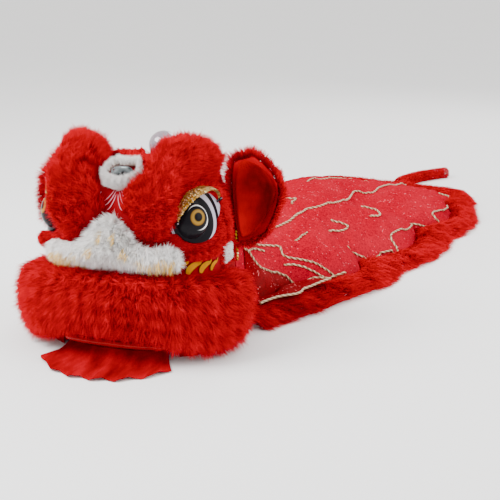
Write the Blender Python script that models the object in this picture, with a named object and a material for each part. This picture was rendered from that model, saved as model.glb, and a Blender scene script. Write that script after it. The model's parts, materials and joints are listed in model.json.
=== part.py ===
"""A lion dance costume: fur covered head, hinged jaw, eyelids and ears, and the body cloth."""
import math
import random

import bmesh
import bpy
from mathutils import Matrix, Vector
from mathutils.bvhtree import BVHTree

# Head form: a rounded dome about a centre inside it
HEAD_HALF_WIDTH = 0.285
HEAD_FRONT = 0.210
HEAD_BACK = 0.280
HEAD_UP = 0.352
HEAD_DOWN = 0.800
HEAD_POWER = 2.9
HEAD_CENTRE = Vector((0.0, 0.075, 0.215))
SHELL_WALL = 0.004
SHELL_SECTORS = 32
SHELL_ROWS = 8
MOUTH_HALF_WIDTH = 0.195
MOUTH_HEIGHT = 0.100
NECK_HALF_WIDTH = 0.150
NECK_HEIGHT = 0.280

# Clearances between touching pieces
FIT_GAP = 0.0003
SEAT_LIMIT = 0.0120
SEAT_STEPS = 9
EYE_GAP = 0.0020
EAR_FUR_GAP = 0.0009
HEM_GAP = 0.0021
FUR_FLOOR = 0.014

# A lock's lean inside a patch and at its edge, and the spread of lock lengths
LEAN_INSIDE = 0.42
LEAN_AT_EDGE = 0.15
LOCK_SPREAD = (0.7, 1.25)
CAP_LOCK_SPREAD = (0.8, 1.6)
HEM_LOCK_SPREAD = (0.6, 1.3)
HEM_LOCK_LEAN = 0.6

# Fur depths and the edge that each fur skin keeps
FUR_EDGE = 0.006
LIP_FUR = 0.084
BROW_FUR = 0.092
CROWN_FUR = 0.014
CHEEK_FUR = 0.022
TEMPLE_FUR = 0.008
TRIM_DEPTH = 0.006
CAP_FUR = 0.004
NOSE_FUR = 0.042
FOREHEAD_FUR = 0.016
LIP_LOCK = 0.020
BROW_LOCK = 0.022
CROWN_LOCK = 0.010
CHEEK_LOCK = 0.010
TEMPLE_LOCK = 0.006
TRIM_LOCK = 0.003
NOSE_LOCK = 0.012
FOREHEAD_LOCK = 0.006
CAP_LOCK = 0.003
CAP_LOW_RISE = 81.5
CAP_SECTORS = 10
CROWN_TOP_RISE = 73.0

# Forehead mirror and the clear ball behind it
MIRROR_HALF_WIDTH = 0.037
MIRROR_HALF_HEIGHT = 0.023
MIRROR_THICK = 0.020
MIRROR_RISE_ANGLE = 70.5
BALL_RADIUS = 0.050
BALL_WALL = 0.002
BALL_CORE_RADIUS = 0.020
BALL_STEM_RADIUS = 0.004
BALL_HOLE_RADIUS = 0.009
BALL_BASE_RADIUS = 0.024
BALL_BASE_THICK = 0.010
BALL_RISE_ANGLE = 60.0
BALL_SECTORS = 12
BALL_STEPS = 7
BALL_CORE_STEPS = 5

# Eyes
EYE_TURN = 58.0
EYE_RISE = 37.0
EYE_PLATE = 0.008
EYEBALL_RADIUS = 0.048
EYEBALL_DEPTH = 0.038
EYE_SECTORS = 20
EYEBALL_SHARE = 0.98
EYE_RINGS = (0.0, 0.4, 0.7, 0.9, 1.0, 1.5, 2.0)
LID_HALF_LENGTH = 0.100
LID_RADIUS = 0.068
LID_WALL = 0.0025
LID_TILT = 15.0
LID_CENTRE_ALONG = 0.0400
LID_CENTRE_UP = 0.0300
LID_AXIS_RISE = -0.003
LID_LOW_ANGLE = 40.0
LID_HIGH_ANGLE = 75.0
LID_POST_RADIUS = 0.006
LID_POST_LENGTH = 0.008

# Ears
EAR_TURN = 104.0
EAR_RISE = 20.0
EAR_LENGTH = 0.240
EAR_HALF_WIDTH = 0.066
EAR_WALL = 0.004
EAR_CUP_DEPTH = 0.030
EAR_FUR = 0.026
EAR_FUR_MARGIN = 0.024
EAR_LOCK = 0.014
EAR_PIN_RADIUS = 0.008
EAR_POST_LENGTH = 0.012
EAR_LEAN = Vector((0.10, 0.46, 0.88))

# Jaw
JAW_HALF_WIDTH = 0.165
JAW_FRONT = -0.150
JAW_CORNER_DROP = 0.045
JAW_HINGE_Y = 0.120
JAW_Z = 0.040
JAW_THICK = 0.008
JAW_RIM_RADIUS = 0.010
AXLE_RADIUS = 0.005
AXLE_CLEARANCE = 0.0005
AXLE_SIDES = 12
SLEEVE_WALL = 0.004
TONGUE_HALF_WIDTH = 0.060
TONGUE_LENGTH = 0.150
TONGUE_THICK = 0.010
TONGUE_SETBACK = 0.035
TONGUE_ROOT_SHARE = 0.8
TONGUE_TOP_SHARE = 0.9
TONGUE_TOP_SHIFT = 0.004
BEARD_HALF_WIDTH = 0.215
BEARD_REACH = 0.190
BEARD_THICK = 0.003
BEARD_PLEAT = 0.006
BEARD_PLEATS = 6
BEARD_TOP_SHARE = 0.97
BEARD_SIDE_CUT = 0.42
BEARD_SIDE_POWER = 2.2
BEARD_DROP_RATE = 2.2
BEARD_DROP_POWER = 1.5
BEARD_PLEAT_RATE = 1.6

# Body cloth
CLOTH_LENGTH = 2.200
CLOTH_HALF_WIDTH = 0.500
CLOTH_THICK = 0.0025
RIDGE_HEIGHT = 0.360
FOLD_DEPTH = 0.012
BODY_TURN = 13.0
BODY_TURN_LENGTH = 0.500
CLOTH_STATIONS = 30
CLOTH_STRIPS = 6
LOBE_COUNT = 4
LOBE_DEPTH = 0.230
LOBE_PHASE = 0.35
LOBE_POWER = 0.8
LOBE_START = 0.10
LOBE_FADE = 0.15
NECK_TOP_RISE = 32.0
NECK_SIDE_TURN = 112.0
NECK_BLEND = 0.130
HEM_FUR_WIDTH = 0.105
HEM_FUR_HEIGHT = 0.046
HEM_LOCK = 0.016
HEM_FAN = 45.0
HEM_FAN_START = 0.86
HEM_NOTCH_FILL = 0.6
# share of the band's width, share of its height
HEM_PROFILE = ((0.0, 0.0), (0.0, 0.55), (0.42, 1.0), (1.0, 0.0))
TAIL_RADIUS = 0.026
TAIL_LENGTH = 0.420
TAIL_TURN = 38.0

# Section tables hold shares of the named sizes
# turn share, low angle, high angle, depth share
LIP_SECTIONS = (
    (0.00, -28.0, 14.5, 1.00),
    (0.20, -28.5, 14.5, 1.00),
    (0.34, -29.5, 12.5, 0.98),
    (0.50, -31.0, 9.0, 0.95),
    (0.64, -32.0, 7.0, 0.95),
    (0.82, -31.0, 6.0, 0.92),
    (1.00, -27.0, 2.0, 0.70),
)
LIP_SPREAD = 104.0
# turn angle, low angle, high angle
BROW_SECTIONS = (
    (9.0, 50.0, 54.0),
    (15.0, 44.0, 56.5),
    (21.0, 36.0, 58.5),
    (26.0, 32.5, 60.5),
    (30.0, 31.0, 63.0),
    (35.0, 31.0, 71.0),
    (40.0, 32.5, 73.0),
    (44.0, 40.0, 73.5),
    (47.5, 48.5, 73.5),
    (51.0, 53.0, 73.5),
    (56.0, 54.5, 73.5),
    (64.0, 55.5, 73.5),
    (74.0, 56.0, 73.5),
    (84.0, 56.0, 73.5),
    (94.0, 54.0, 73.0),
    (104.0, 51.5, 72.0),
    (114.0, 51.0, 70.0),
    (123.0, 53.0, 67.0),
)
# turn angle, low angle, high angle
NOSE_SECTIONS = (
    (0.0, 17.5, 49.0),
    (8.0, 17.0, 46.0),
    (14.0, 17.0, 40.5),
    (21.0, 17.5, 32.0),
    (30.0, 16.0, 28.0),
    (41.0, 15.0, 27.5),
    (48.0, 15.5, 23.0),
)
# turn angle, low angle, high angle
CHEEK_SECTIONS = (
    (50.0, 19.0, 22.5),
    (58.0, 17.0, 22.5),
    (68.0, 17.0, 22.5),
    (75.0, 18.0, 23.0),
)
TEMPLE_TURNS = (93.0, 101.0)
TEMPLE_RISES = (21.0, 50.0)
TRIM_TURNS = (85.0, 101.0)
TRIM_RISES = (9.0, 19.5)
# turn angle, low angle, high angle
FOREHEAD_SECTIONS = (
    (0.0, 60.5, 80.0),
    (14.0, 61.5, 80.0),
    (29.0, 67.5, 80.0),
)
# share of the circle from the rear, reach of the eye from the ball's middle
EYE_OUTLINE = (
    (0.00, 0.110),
    (0.05, 0.168),
    (0.10, 0.138),
    (0.16, 0.080),
    (0.22, 0.064),
    (0.30, 0.055),
    (0.40, 0.050),
    (0.45, 0.052),
    (0.50, 0.076),
    (0.55, 0.052),
    (0.60, 0.050),
    (0.70, 0.055),
    (0.78, 0.062),
    (0.86, 0.076),
    (0.93, 0.094),
    (1.00, 0.110),
)
# share along the body, width share, ridge share, section power, fur width share
BODY_SECTIONS = (
    (0.00, 0.56, 1.00, 3.0, 1.05),
    (0.08, 0.60, 0.76, 2.5, 1.60),
    (0.16, 0.68, 0.60, 2.1, 1.75),
    (0.26, 0.80, 0.57, 1.8, 1.50),
    (0.36, 0.98, 0.58, 1.6, 1.15),
    (0.52, 1.00, 0.54, 1.6, 1.15),
    (0.68, 1.02, 0.44, 1.6, 1.10),
    (0.84, 0.94, 0.30, 1.7, 1.00),
    (0.94, 0.80, 0.18, 1.9, 0.95),
    (1.00, 0.66, 0.10, 2.0, 0.90),
)
# share along the ear, half width share, centre offset share
EAR_SECTIONS = (
    (0.00, 0.30, 0.30),
    (0.18, 0.72, 0.72),
    (0.42, 1.00, 1.16),
    (0.66, 0.92, 1.24),
    (0.86, 0.56, 1.18),
    (1.00, 0.12, 1.08),
)

RED = (0.62, 0.006, 0.012, 1.0)
DARK_RED = (0.30, 0.004, 0.010, 1.0)
CLOTH_RED = (0.50, 0.010, 0.018, 1.0)
WHITE = (0.88, 0.87, 0.86, 1.0)
GOLD = (0.80, 0.52, 0.12, 1.0)
BLACK = (0.010, 0.010, 0.012, 1.0)
GREY = (0.35, 0.36, 0.38, 1.0)
CLEAR = (0.92, 0.93, 0.96, 1.0)


def clear_scene():
    for thing in list(bpy.data.objects):
        bpy.data.objects.remove(thing, do_unlink=True)


def make_material(name, colour, roughness, metallic=0.0):
    material = bpy.data.materials.new(name)
    material.use_nodes = True
    shader = material.node_tree.nodes["Principled BSDF"]
    shader.inputs["Base Color"].default_value = colour
    shader.inputs["Roughness"].default_value = roughness
    shader.inputs["Metallic"].default_value = metallic
    return material


def add_object(name, mesh_data, material, smooth=False):
    """Turn a bmesh into a named object with outward faces."""
    bmesh.ops.recalc_face_normals(mesh_data, faces=mesh_data.faces[:])
    mesh = bpy.data.meshes.new(name)
    mesh_data.to_mesh(mesh)
    mesh_data.free()
    mesh.materials.append(material)
    if smooth:
        mesh.shade_smooth()
        mesh.set_sharp_from_angle(angle=math.radians(40.0))
    thing = bpy.data.objects.new(name, mesh)
    bpy.context.scene.collection.objects.link(thing)
    return thing


def table_value(rows, at, column):
    """Read one column of a table of sections, in straight lines between its rows."""
    if at <= rows[0][0]:
        return rows[0][column]
    for before, after in zip(rows, rows[1:]):
        if at <= after[0]:
            share = (at - before[0]) / (after[0] - before[0])
            return before[column] + share * (after[column] - before[column])
    return rows[-1][column]


def smooth_step(value):
    clipped = min(1.0, max(0.0, value))
    return clipped * clipped * (3.0 - 2.0 * clipped)


def pillow(share, power):
    """Height of a rounded cushion across its width, 0 at both edges."""
    return (1.0 - abs(2.0 * share - 1.0) ** power) ** (1.0 / power)


def head_ray(turn, rise):
    """Direction from the head's centre: turn goes round from the front, rise goes up."""
    across = math.cos(math.radians(rise))
    side = math.sin(math.radians(turn)) * across
    back = -math.cos(math.radians(turn)) * across
    return Vector((side, back, math.sin(math.radians(rise))))


def head_reach(ray):
    """Distance from the head's centre to its surface along a direction."""
    depth = HEAD_FRONT if ray.y < 0.0 else HEAD_BACK
    height = HEAD_UP if ray.z > 0.0 else HEAD_DOWN
    total = abs(ray.x / HEAD_HALF_WIDTH) ** HEAD_POWER
    total += abs(ray.y / depth) ** HEAD_POWER
    total += abs(ray.z / height) ** HEAD_POWER
    return total ** (-1.0 / HEAD_POWER)


def head_point(turn, rise, lift=0.0):
    ray = head_ray(turn, rise)
    return HEAD_CENTRE + ray * (head_reach(ray) + lift)


def floor_rise(turn, lift=0.0):
    """The rise angle at which the head's surface, moved by lift, meets the floor."""
    low, high = -80.0, 0.0
    for _ in range(40):
        middle = (low + high) / 2.0
        if head_point(turn, middle, lift).z < 0.0:
            low = middle
        else:
            high = middle
    return high


def surface_frame(turn, rise):
    """Tangent towards the rear, tangent upwards and outward direction at one head point."""
    outward = head_ray(turn, rise)
    along = Vector((math.cos(math.radians(turn)), math.sin(math.radians(turn)), 0.0))
    upward = outward.cross(along)
    return along, upward, outward


def flip_side(thing, name):
    """A mirrored copy of a left piece for the lion's right side."""
    mesh = bmesh.new()
    mesh.from_mesh(thing.data)
    bmesh.ops.transform(mesh, matrix=thing.matrix_world, verts=mesh.verts[:])
    bmesh.ops.scale(mesh, vec=(-1.0, 1.0, 1.0), verts=mesh.verts[:])
    return add_object(name, mesh, thing.data.materials[0])


def cutter_box(name, low, high):
    mesh = bmesh.new()
    bmesh.ops.create_cube(mesh, size=1.0)
    size = Vector(high) - Vector(low)
    middle = (Vector(high) + Vector(low)) / 2.0
    bmesh.ops.scale(mesh, vec=size, verts=mesh.verts[:])
    bmesh.ops.translate(mesh, vec=middle, verts=mesh.verts[:])
    thing = add_object(name, mesh, MATERIALS["frame"])
    thing.hide_render = True
    thing.display_type = "WIRE"
    return thing


def add_boolean(thing, other, operation):
    modifier = thing.modifiers.new(other.name, "BOOLEAN")
    modifier.operation = operation
    modifier.solver = "EXACT"
    modifier.object = other
    other.hide_render = True
    other.display_type = "WIRE"


def build_head_shell():
    """Open dome of covered frame, cut away at the mouth and neck; returns its search tree."""
    mesh = bmesh.new()
    rings = {}
    for side, lift in (("outer", 0.0), ("inner", -SHELL_WALL)):
        rows = []
        for row in range(SHELL_ROWS):
            ring = []
            for sector in range(SHELL_SECTORS):
                turn = 360.0 * sector / SHELL_SECTORS
                start = floor_rise(turn, lift)
                rise = start + (90.0 - start) * row / SHELL_ROWS
                place = head_point(turn, rise, lift)
                if row == 0:
                    place.z = 0.0
                ring.append(mesh.verts.new(place))
            rows.append(ring)
        rings[side] = rows
        top = mesh.verts.new(head_point(0.0, 90.0, lift))
        for sector in range(SHELL_SECTORS):
            after = (sector + 1) % SHELL_SECTORS
            for low, high in zip(rows, rows[1:]):
                mesh.faces.new((low[sector], low[after], high[after], high[sector]))
            mesh.faces.new((rows[-1][sector], rows[-1][after], top))
    for sector in range(SHELL_SECTORS):
        after = (sector + 1) % SHELL_SECTORS
        outer, inner = rings["outer"][0], rings["inner"][0]
        mesh.faces.new((outer[sector], inner[sector], inner[after], outer[after]))
    bmesh.ops.triangulate(mesh, faces=mesh.faces[:])
    tree = BVHTree.FromBMesh(mesh)
    shell = add_object("head_shell", mesh, MATERIALS["skin"], smooth=True)
    front = HEAD_CENTRE.y - HEAD_FRONT
    mouth = cutter_box(
        "mouth_cutter",
        (-MOUTH_HALF_WIDTH, front - 0.1, -0.05),
        (MOUTH_HALF_WIDTH, HEAD_CENTRE.y - HEAD_FRONT / 2.0, MOUTH_HEIGHT),
    )
    neck = cutter_box(
        "neck_cutter",
        (-NECK_HALF_WIDTH, HEAD_CENTRE.y + HEAD_BACK / 2.0, -0.05),
        (NECK_HALF_WIDTH, HEAD_CENTRE.y + HEAD_BACK + 0.1, NECK_HEIGHT),
    )
    add_boolean(shell, mouth, "DIFFERENCE")
    add_boolean(shell, neck, "DIFFERENCE")
    return tree


def seat_gap(build):
    """The least gap at which the mesh from build(gap) clears the head shell, and a fit gap."""
    low, high = -SHELL_WALL / 2.0, SEAT_LIMIT
    for _ in range(SEAT_STEPS):
        middle = (low + high) / 2.0
        mesh = build(middle)
        bmesh.ops.triangulate(mesh, faces=mesh.faces[:])
        touching = BVHTree.FromBMesh(mesh).overlap(SHELL_TREE)
        mesh.free()
        if touching:
            low = middle
        else:
            high = middle
    return high + FIT_GAP


def fur_mesh(columns, rows, place, keep=None, lock=0.01, comb=(0.0, 0.0), seed=1):
    """A closed skin of fur over a grid of cells.

    place(a, b, top) gives a point for shares a and b of the patch, on its backing when top is
    0 and on its outer face when top is 1, and past that face for larger values. Each outer
    cell rises to one lock of fur, leaning along the comb.
    """
    mesh = bmesh.new()
    chance = random.Random(seed)
    corners = {}

    def corner(column, row, top):
        key = (column, row, top)
        if key not in corners:
            corners[key] = mesh.verts.new(place(column / columns, row / rows, top))
        return corners[key]

    cells = set()
    for column in range(columns):
        for row in range(rows):
            if keep is None or keep(column, row):
                cells.add((column, row))
    for column, row in sorted(cells):
        around = ((0, 0), (1, 0), (1, 1), (0, 1))
        outer = [corner(column + i, row + j, 1) for i, j in around]
        inner = [corner(column + i, row + j, 0) for i, j in around]
        inside = all((column + i, row + j) in cells for i in (-1, 0, 1) for j in (-1, 0, 1))
        lean = LEAN_INSIDE if inside else LEAN_AT_EDGE
        share_a = (column + 0.5 + comb[0] * lean) / columns
        share_b = (row + 0.5 + comb[1] * lean) / rows
        length = lock * chance.uniform(*LOCK_SPREAD)
        peak = mesh.verts.new(place(share_a, share_b, 1, length))
        for first, second in zip(outer, outer[1:] + outer[:1]):
            mesh.faces.new((first, second, peak))
        mesh.faces.new(inner)
        walls = (
            ((column, row - 1), 0, 1),
            ((column + 1, row), 1, 2),
            ((column, row + 1), 2, 3),
            ((column - 1, row), 3, 0),
        )
        for neighbour, first, second in walls:
            if neighbour not in cells:
                mesh.faces.new((outer[first], outer[second], inner[second], inner[first]))
    bmesh.ops.triangulate(mesh, faces=mesh.faces[:])
    return mesh


def column_turn(turns, share):
    """Turn angle at a share of the way through a list of column angles."""
    at = share * (len(turns) - 1)
    index = min(int(at), len(turns) - 2)
    return turns[index] + (turns[index + 1] - turns[index]) * (at - index)


def above_floor(place):
    if place.z < FUR_FLOOR:
        place.z = FUR_FLOOR
    return place


def head_fur(name, material, turns, edges, grid, depth, lock, comb, seed, keep=None,
             powers=(2.2, 2.2)):
    """Fur on the head along column turns; edges(turn) gives low, high and depth share."""

    def build(gap):
        def place(a, b, top, extra=0.0):
            turn = column_turn(turns, a)
            low, high, share = edges(turn)
            rise = low + (high - low) * b
            if top == 0:
                return head_point(turn, rise, gap)
            height = FUR_EDGE + depth * share * pillow(a, powers[0]) * pillow(b, powers[1])
            return above_floor(head_point(turn, rise, gap + height + extra))

        return fur_mesh(grid[0], grid[1], place, keep, lock, comb, seed)

    return add_object(name, build(seat_gap(build)), material)


def build_lip_fur():
    def edges(turn):
        share = abs(turn) / LIP_SPREAD
        low = table_value(LIP_SECTIONS, share, 1)
        high = table_value(LIP_SECTIONS, share, 2)
        return low, high, table_value(LIP_SECTIONS, share, 3)

    head_fur("upper_lip_fur", MATERIALS["red_fur"], (-LIP_SPREAD, LIP_SPREAD), edges,
             (24, 5), LIP_FUR, LIP_LOCK, (0.0, -0.8), 11, powers=(5.0, 2.6))


def brow_edges(turn):
    size = abs(turn)
    return table_value(BROW_SECTIONS, size, 1), table_value(BROW_SECTIONS, size, 2), 1.0


def build_brow_fur():
    for side, name in ((1.0, "brow_fur_left"), (-1.0, "brow_fur_right")):
        turns = [side * row[0] for row in BROW_SECTIONS]
        head_fur(name, MATERIALS["red_fur"], turns, brow_edges, (len(turns) - 1, 5),
                 BROW_FUR, BROW_LOCK, (0.5, 0.6), 21, powers=(3.4, 2.4))


def build_crown_fur():
    """Fur over the back of the head, with a bay for the ball, and a cap of fur on top."""
    start = BROW_SECTIONS[-1][0] + 3.0
    columns, rows = 14, 5

    def edges(_turn):
        return NECK_TOP_RISE + 4.0, CROWN_TOP_RISE, 1.0

    def keep(column, row):
        in_bay = 5 <= column <= columns - 6 and row >= 1
        return not in_bay

    head_fur("crown_fur", MATERIALS["red_fur"], (start, 360.0 - start), edges,
             (columns, rows), CROWN_FUR, CROWN_LOCK, (0.0, -0.7), 31, keep, (3.0, 3.0))
    mesh = bmesh.new()
    chance = random.Random(33)
    lifts = (FUR_EDGE / 2.0, 1.5 * FUR_EDGE + CAP_FUR)
    rings = []
    for lift in lifts:
        ring = []
        for sector in range(CAP_SECTORS):
            ring.append(mesh.verts.new(head_point(360.0 * sector / CAP_SECTORS, CAP_LOW_RISE, lift)))
        rings.append(ring)
    base_top = mesh.verts.new(head_point(0.0, 90.0, FIT_GAP))
    peak = mesh.verts.new(head_point(0.0, 90.0, lifts[1] + CAP_LOCK))
    for sector in range(CAP_SECTORS):
        after = (sector + 1) % CAP_SECTORS
        inner, outer = rings
        mesh.faces.new((inner[sector], inner[after], base_top))
        mesh.faces.new((inner[sector], inner[after], outer[after], outer[sector]))
        turn = 360.0 * (sector + 0.5) / CAP_SECTORS
        lift = lifts[1] + CAP_LOCK * chance.uniform(*CAP_LOCK_SPREAD)
        tuft = mesh.verts.new(head_point(turn, (CAP_LOW_RISE + 90.0) / 2.0, lift))
        mesh.faces.new((outer[sector], outer[after], tuft))
        mesh.faces.new((outer[after], peak, tuft))
        mesh.faces.new((peak, outer[sector], tuft))
    add_object("cap_fur", mesh, MATERIALS["red_fur"])


def build_cheek_fur():
    start, end = CHEEK_SECTIONS[0][0], CHEEK_SECTIONS[-1][0]

    def edges(turn):
        size = abs(turn)
        return table_value(CHEEK_SECTIONS, size, 1), table_value(CHEEK_SECTIONS, size, 2), 1.0

    for side, name in ((1.0, "cheek_fur_left"), (-1.0, "cheek_fur_right")):
        head_fur(name, MATERIALS["red_fur"], (side * start, side * end), edges,
                 (6, 2), CHEEK_FUR, CHEEK_LOCK, (0.0, -0.6), 41)


def build_side_strips():
    """Short fur behind each eye, and the white trim below it at the head's rear edge."""
    strips = (
        ("temple_fur", "red_fur", TEMPLE_TURNS, TEMPLE_RISES, (3, 5), TEMPLE_FUR, TEMPLE_LOCK),
        ("side_trim", "white_fur", TRIM_TURNS, TRIM_RISES, (4, 2), TRIM_DEPTH, TRIM_LOCK),
    )
    for label, colour, turns, rises, grid, depth, lock in strips:
        for side, hand in ((1.0, "left"), (-1.0, "right")):
            head_fur(f"{label}_{hand}", MATERIALS[colour], (side * turns[0], side * turns[1]),
                     lambda turn, rises=rises: (rises[0], rises[1], 1.0), grid, depth, lock,
                     (0.0, -0.5), 45)


def build_nose_fur():
    reach = NOSE_SECTIONS[-1][0]

    def edges(turn):
        size = abs(turn)
        return table_value(NOSE_SECTIONS, size, 1), table_value(NOSE_SECTIONS, size, 2), 1.0

    head_fur("nose_fur", MATERIALS["white_fur"], (-reach, reach), edges,
             (16, 4), NOSE_FUR, NOSE_LOCK, (0.0, -0.8), 51, powers=(4.0, 2.0))


def build_forehead():
    """White fur with the mirror let into it."""
    reach = FOREHEAD_SECTIONS[-1][0]
    columns, rows = 8, 4

    def edges(turn):
        size = abs(turn)
        low = table_value(FOREHEAD_SECTIONS, size, 1)
        return low, table_value(FOREHEAD_SECTIONS, size, 2), 1.0

    def keep(column, row):
        return not (1 <= column <= columns - 2 and 1 <= row <= rows - 2)

    head_fur("forehead_fur", MATERIALS["white_fur"], (-reach, reach), edges,
             (columns, rows), FOREHEAD_FUR, FOREHEAD_LOCK, (0.0, -0.5), 61, keep, (6.0, 4.0))
    profile = ((0.0, 0.0), (1.0, 0.0), (1.0, 0.75), (0.92, 1.0), (0.80, 1.0), (0.74, 0.86), (0.0, 0.86))
    along = surface_frame(0.0, MIRROR_RISE_ANGLE)[0]
    stretch = Matrix.Diagonal((MIRROR_HALF_WIDTH, MIRROR_HALF_HEIGHT, 1.0, 1.0))

    def build(gap):
        mesh = bmesh.new()
        add_turned(mesh, [(x, z * MIRROR_THICK) for x, z in profile], 20)
        origin = head_point(0.0, MIRROR_RISE_ANGLE, gap)
        placed = frame_matrix(origin, along, head_normal(origin)) @ stretch
        bmesh.ops.transform(mesh, matrix=placed, verts=mesh.verts[:])
        return mesh

    add_object("forehead_mirror", build(seat_gap(build)), MATERIALS["mirror"], smooth=True)


def head_normal(place):
    """Outward normal of the head's form at a point on it."""
    offset = place - HEAD_CENTRE
    depth = HEAD_FRONT if offset.y < 0.0 else HEAD_BACK
    height = HEAD_UP if offset.z > 0.0 else HEAD_DOWN
    parts = []
    for value, size in ((offset.x, HEAD_HALF_WIDTH), (offset.y, depth), (offset.z, height)):
        slope = abs(value / size) ** (HEAD_POWER - 1.0) / size
        parts.append(math.copysign(slope, value) if value else 0.0)
    return Vector(parts).normalized()


def frame_matrix(origin, x_axis, z_axis):
    """Matrix of a right-handed frame whose Z follows z_axis and whose X leans to x_axis."""
    up = z_axis.normalized()
    side = (x_axis - up * x_axis.dot(up)).normalized()
    other = up.cross(side)
    matrix = Matrix((side, other, up)).transposed().to_4x4()
    matrix.translation = origin
    return matrix


def join_rings(mesh, low, high):
    """Faces between two rings of corners, where either may be a single point."""
    sectors = max(len(low), len(high))
    for sector in range(sectors):
        after = (sector + 1) % sectors
        if len(low) == 1:
            mesh.faces.new((low[0], high[sector], high[after]))
        elif len(high) == 1:
            mesh.faces.new((low[sector], low[after], high[0]))
        else:
            mesh.faces.new((low[sector], low[after], high[after], high[sector]))


def add_turned(mesh, profile, sectors):
    """A turned solid from (radius, height) points, closed back to its start if that is off the axis."""
    closed = profile[0][0] > 0.0
    rings = []
    for radius, height in profile:
        if radius <= 0.0:
            rings.append([mesh.verts.new((0.0, 0.0, height))])
            continue
        ring = []
        for sector in range(sectors):
            angle = math.tau * sector / sectors
            ring.append(mesh.verts.new((radius * math.cos(angle), radius * math.sin(angle), height)))
        rings.append(ring)
    pairs = list(zip(rings, rings[1:]))
    if closed:
        pairs.append((rings[-1], rings[0]))
    for low, high in pairs:
        if len(low) > 1 or len(high) > 1:
            join_rings(mesh, low, high)


def build_ball():
    """Clear hollow ball on a small base, with a gilt core on a stem inside it."""
    def place_ball(mesh, gap):
        origin = head_point(180.0, BALL_RISE_ANGLE, gap)
        placed = frame_matrix(origin, Vector((1.0, 0.0, 0.0)), head_normal(origin))
        bmesh.ops.transform(mesh, matrix=placed, verts=mesh.verts[:])
        return mesh

    def build_core(gap):
        mesh = bmesh.new()
        add_turned(mesh, core, BALL_SECTORS)
        return place_ball(mesh, gap)

    hole_drop = math.sqrt(BALL_RADIUS ** 2 - BALL_HOLE_RADIUS ** 2)
    centre = BALL_BASE_THICK + FIT_GAP + hole_drop
    start = math.asin(BALL_HOLE_RADIUS / BALL_RADIUS)
    inner_radius = BALL_RADIUS - BALL_WALL
    inner_start = math.asin(BALL_HOLE_RADIUS / inner_radius)
    core = [(0.0, 0.0), (BALL_BASE_RADIUS, 0.0), (BALL_BASE_RADIUS * 0.8, BALL_BASE_THICK)]
    core.append((BALL_STEM_RADIUS, BALL_BASE_THICK))
    core += ball_arc(centre, BALL_CORE_RADIUS, math.pi / 6.0, BALL_CORE_STEPS)
    add_object("ball_core", build_core(seat_gap(build_core)), MATERIALS["gold"], smooth=True)
    mesh = bmesh.new()
    outside = ball_arc(centre, BALL_RADIUS, start, BALL_STEPS)
    inside = ball_arc(centre, inner_radius, inner_start, BALL_STEPS)
    add_turned(mesh, outside + inside[::-1], BALL_SECTORS)
    place_ball(mesh, seat_gap(build_core))
    add_object("clear_ball", mesh, MATERIALS["clear"], smooth=True)


def ball_arc(centre, radius, start, steps):
    """Points of a ball's profile from a start angle at its foot to its top."""
    points = []
    for step in range(steps):
        angle = start + (math.pi - start) * step / steps
        points.append((radius * math.sin(angle), centre - radius * math.cos(angle)))
    return points + [(0.0, centre + radius)]


def eye_place(along, upward, outward, x, y, lift):
    """A point over the eye: x and y are measured along the head's surface from the ball."""
    radius = head_reach(outward)
    ray = (outward * radius + along * x + upward * y).normalized()
    return HEAD_CENTRE + ray * (head_reach(ray) + lift)


def lid_frame():
    """Origin and directions of the left eyelid's hinge."""
    along, upward, outward = surface_frame(EYE_TURN, EYE_RISE)
    tilt = math.radians(LID_TILT)
    centre = eye_place(along, upward, outward, LID_CENTRE_ALONG, LID_CENTRE_UP, 0.0)
    normal = head_normal(centre)
    axis = along * math.cos(tilt) + upward * math.sin(tilt)
    axis = (axis - normal * axis.dot(normal)).normalized()
    lift = normal.cross(axis)
    return centre + normal * LID_AXIS_RISE, axis, lift, normal


def build_eyes():
    """Painted domes on shaped plates, each with two short posts for its eyelid."""
    along, upward, outward = surface_frame(EYE_TURN, EYE_RISE)
    ball = EYEBALL_RADIUS * EYEBALL_SHARE

    def build(gap):
        return eye_mesh(along, upward, outward, ball, gap)

    left = add_object("eye_left", build(seat_gap(build)), MATERIALS["eye"], smooth=True)
    right = flip_side(left, "eye_right")
    for eye, side in ((left, 1.0), (right, -1.0)):
        for end, label in ((-1.0, "front"), (1.0, "rear")):
            for part in lid_post(f"{eye.name}_{label}", side, end):
                add_boolean(eye, part, "UNION")


def eye_mesh(along, upward, outward, ball, gap):
    """A dome on a plate whose back lies a gap above the head's form."""
    mesh = bmesh.new()
    outer_rows, inner_rows = [], []
    for ring in EYE_RINGS:
        outer_row, inner_row = [], []
        for sector in range(1 if ring == 0.0 else EYE_SECTORS):
            share = sector / EYE_SECTORS
            reach = max(table_value(EYE_OUTLINE, share, 1), ball / EYEBALL_SHARE)
            radius = ball * min(ring, 1.0) + (reach - ball) * max(0.0, ring - 1.0)
            dome = EYEBALL_DEPTH * math.sqrt(max(0.0, 1.0 - ring * ring))
            x = radius * math.cos(math.tau * share)
            y = radius * math.sin(math.tau * share)
            top = EYE_GAP + EYE_PLATE + dome
            outer_row.append(mesh.verts.new(eye_place(along, upward, outward, x, y, top)))
            inner_row.append(mesh.verts.new(eye_place(along, upward, outward, x, y, gap)))
        outer_rows.append(outer_row)
        inner_rows.append(inner_row)
    for rows in (outer_rows, inner_rows):
        for low, high in zip(rows, rows[1:]):
            join_rings(mesh, low, high)
    join_rings(mesh, outer_rows[-1], inner_rows[-1])
    return mesh


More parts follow.
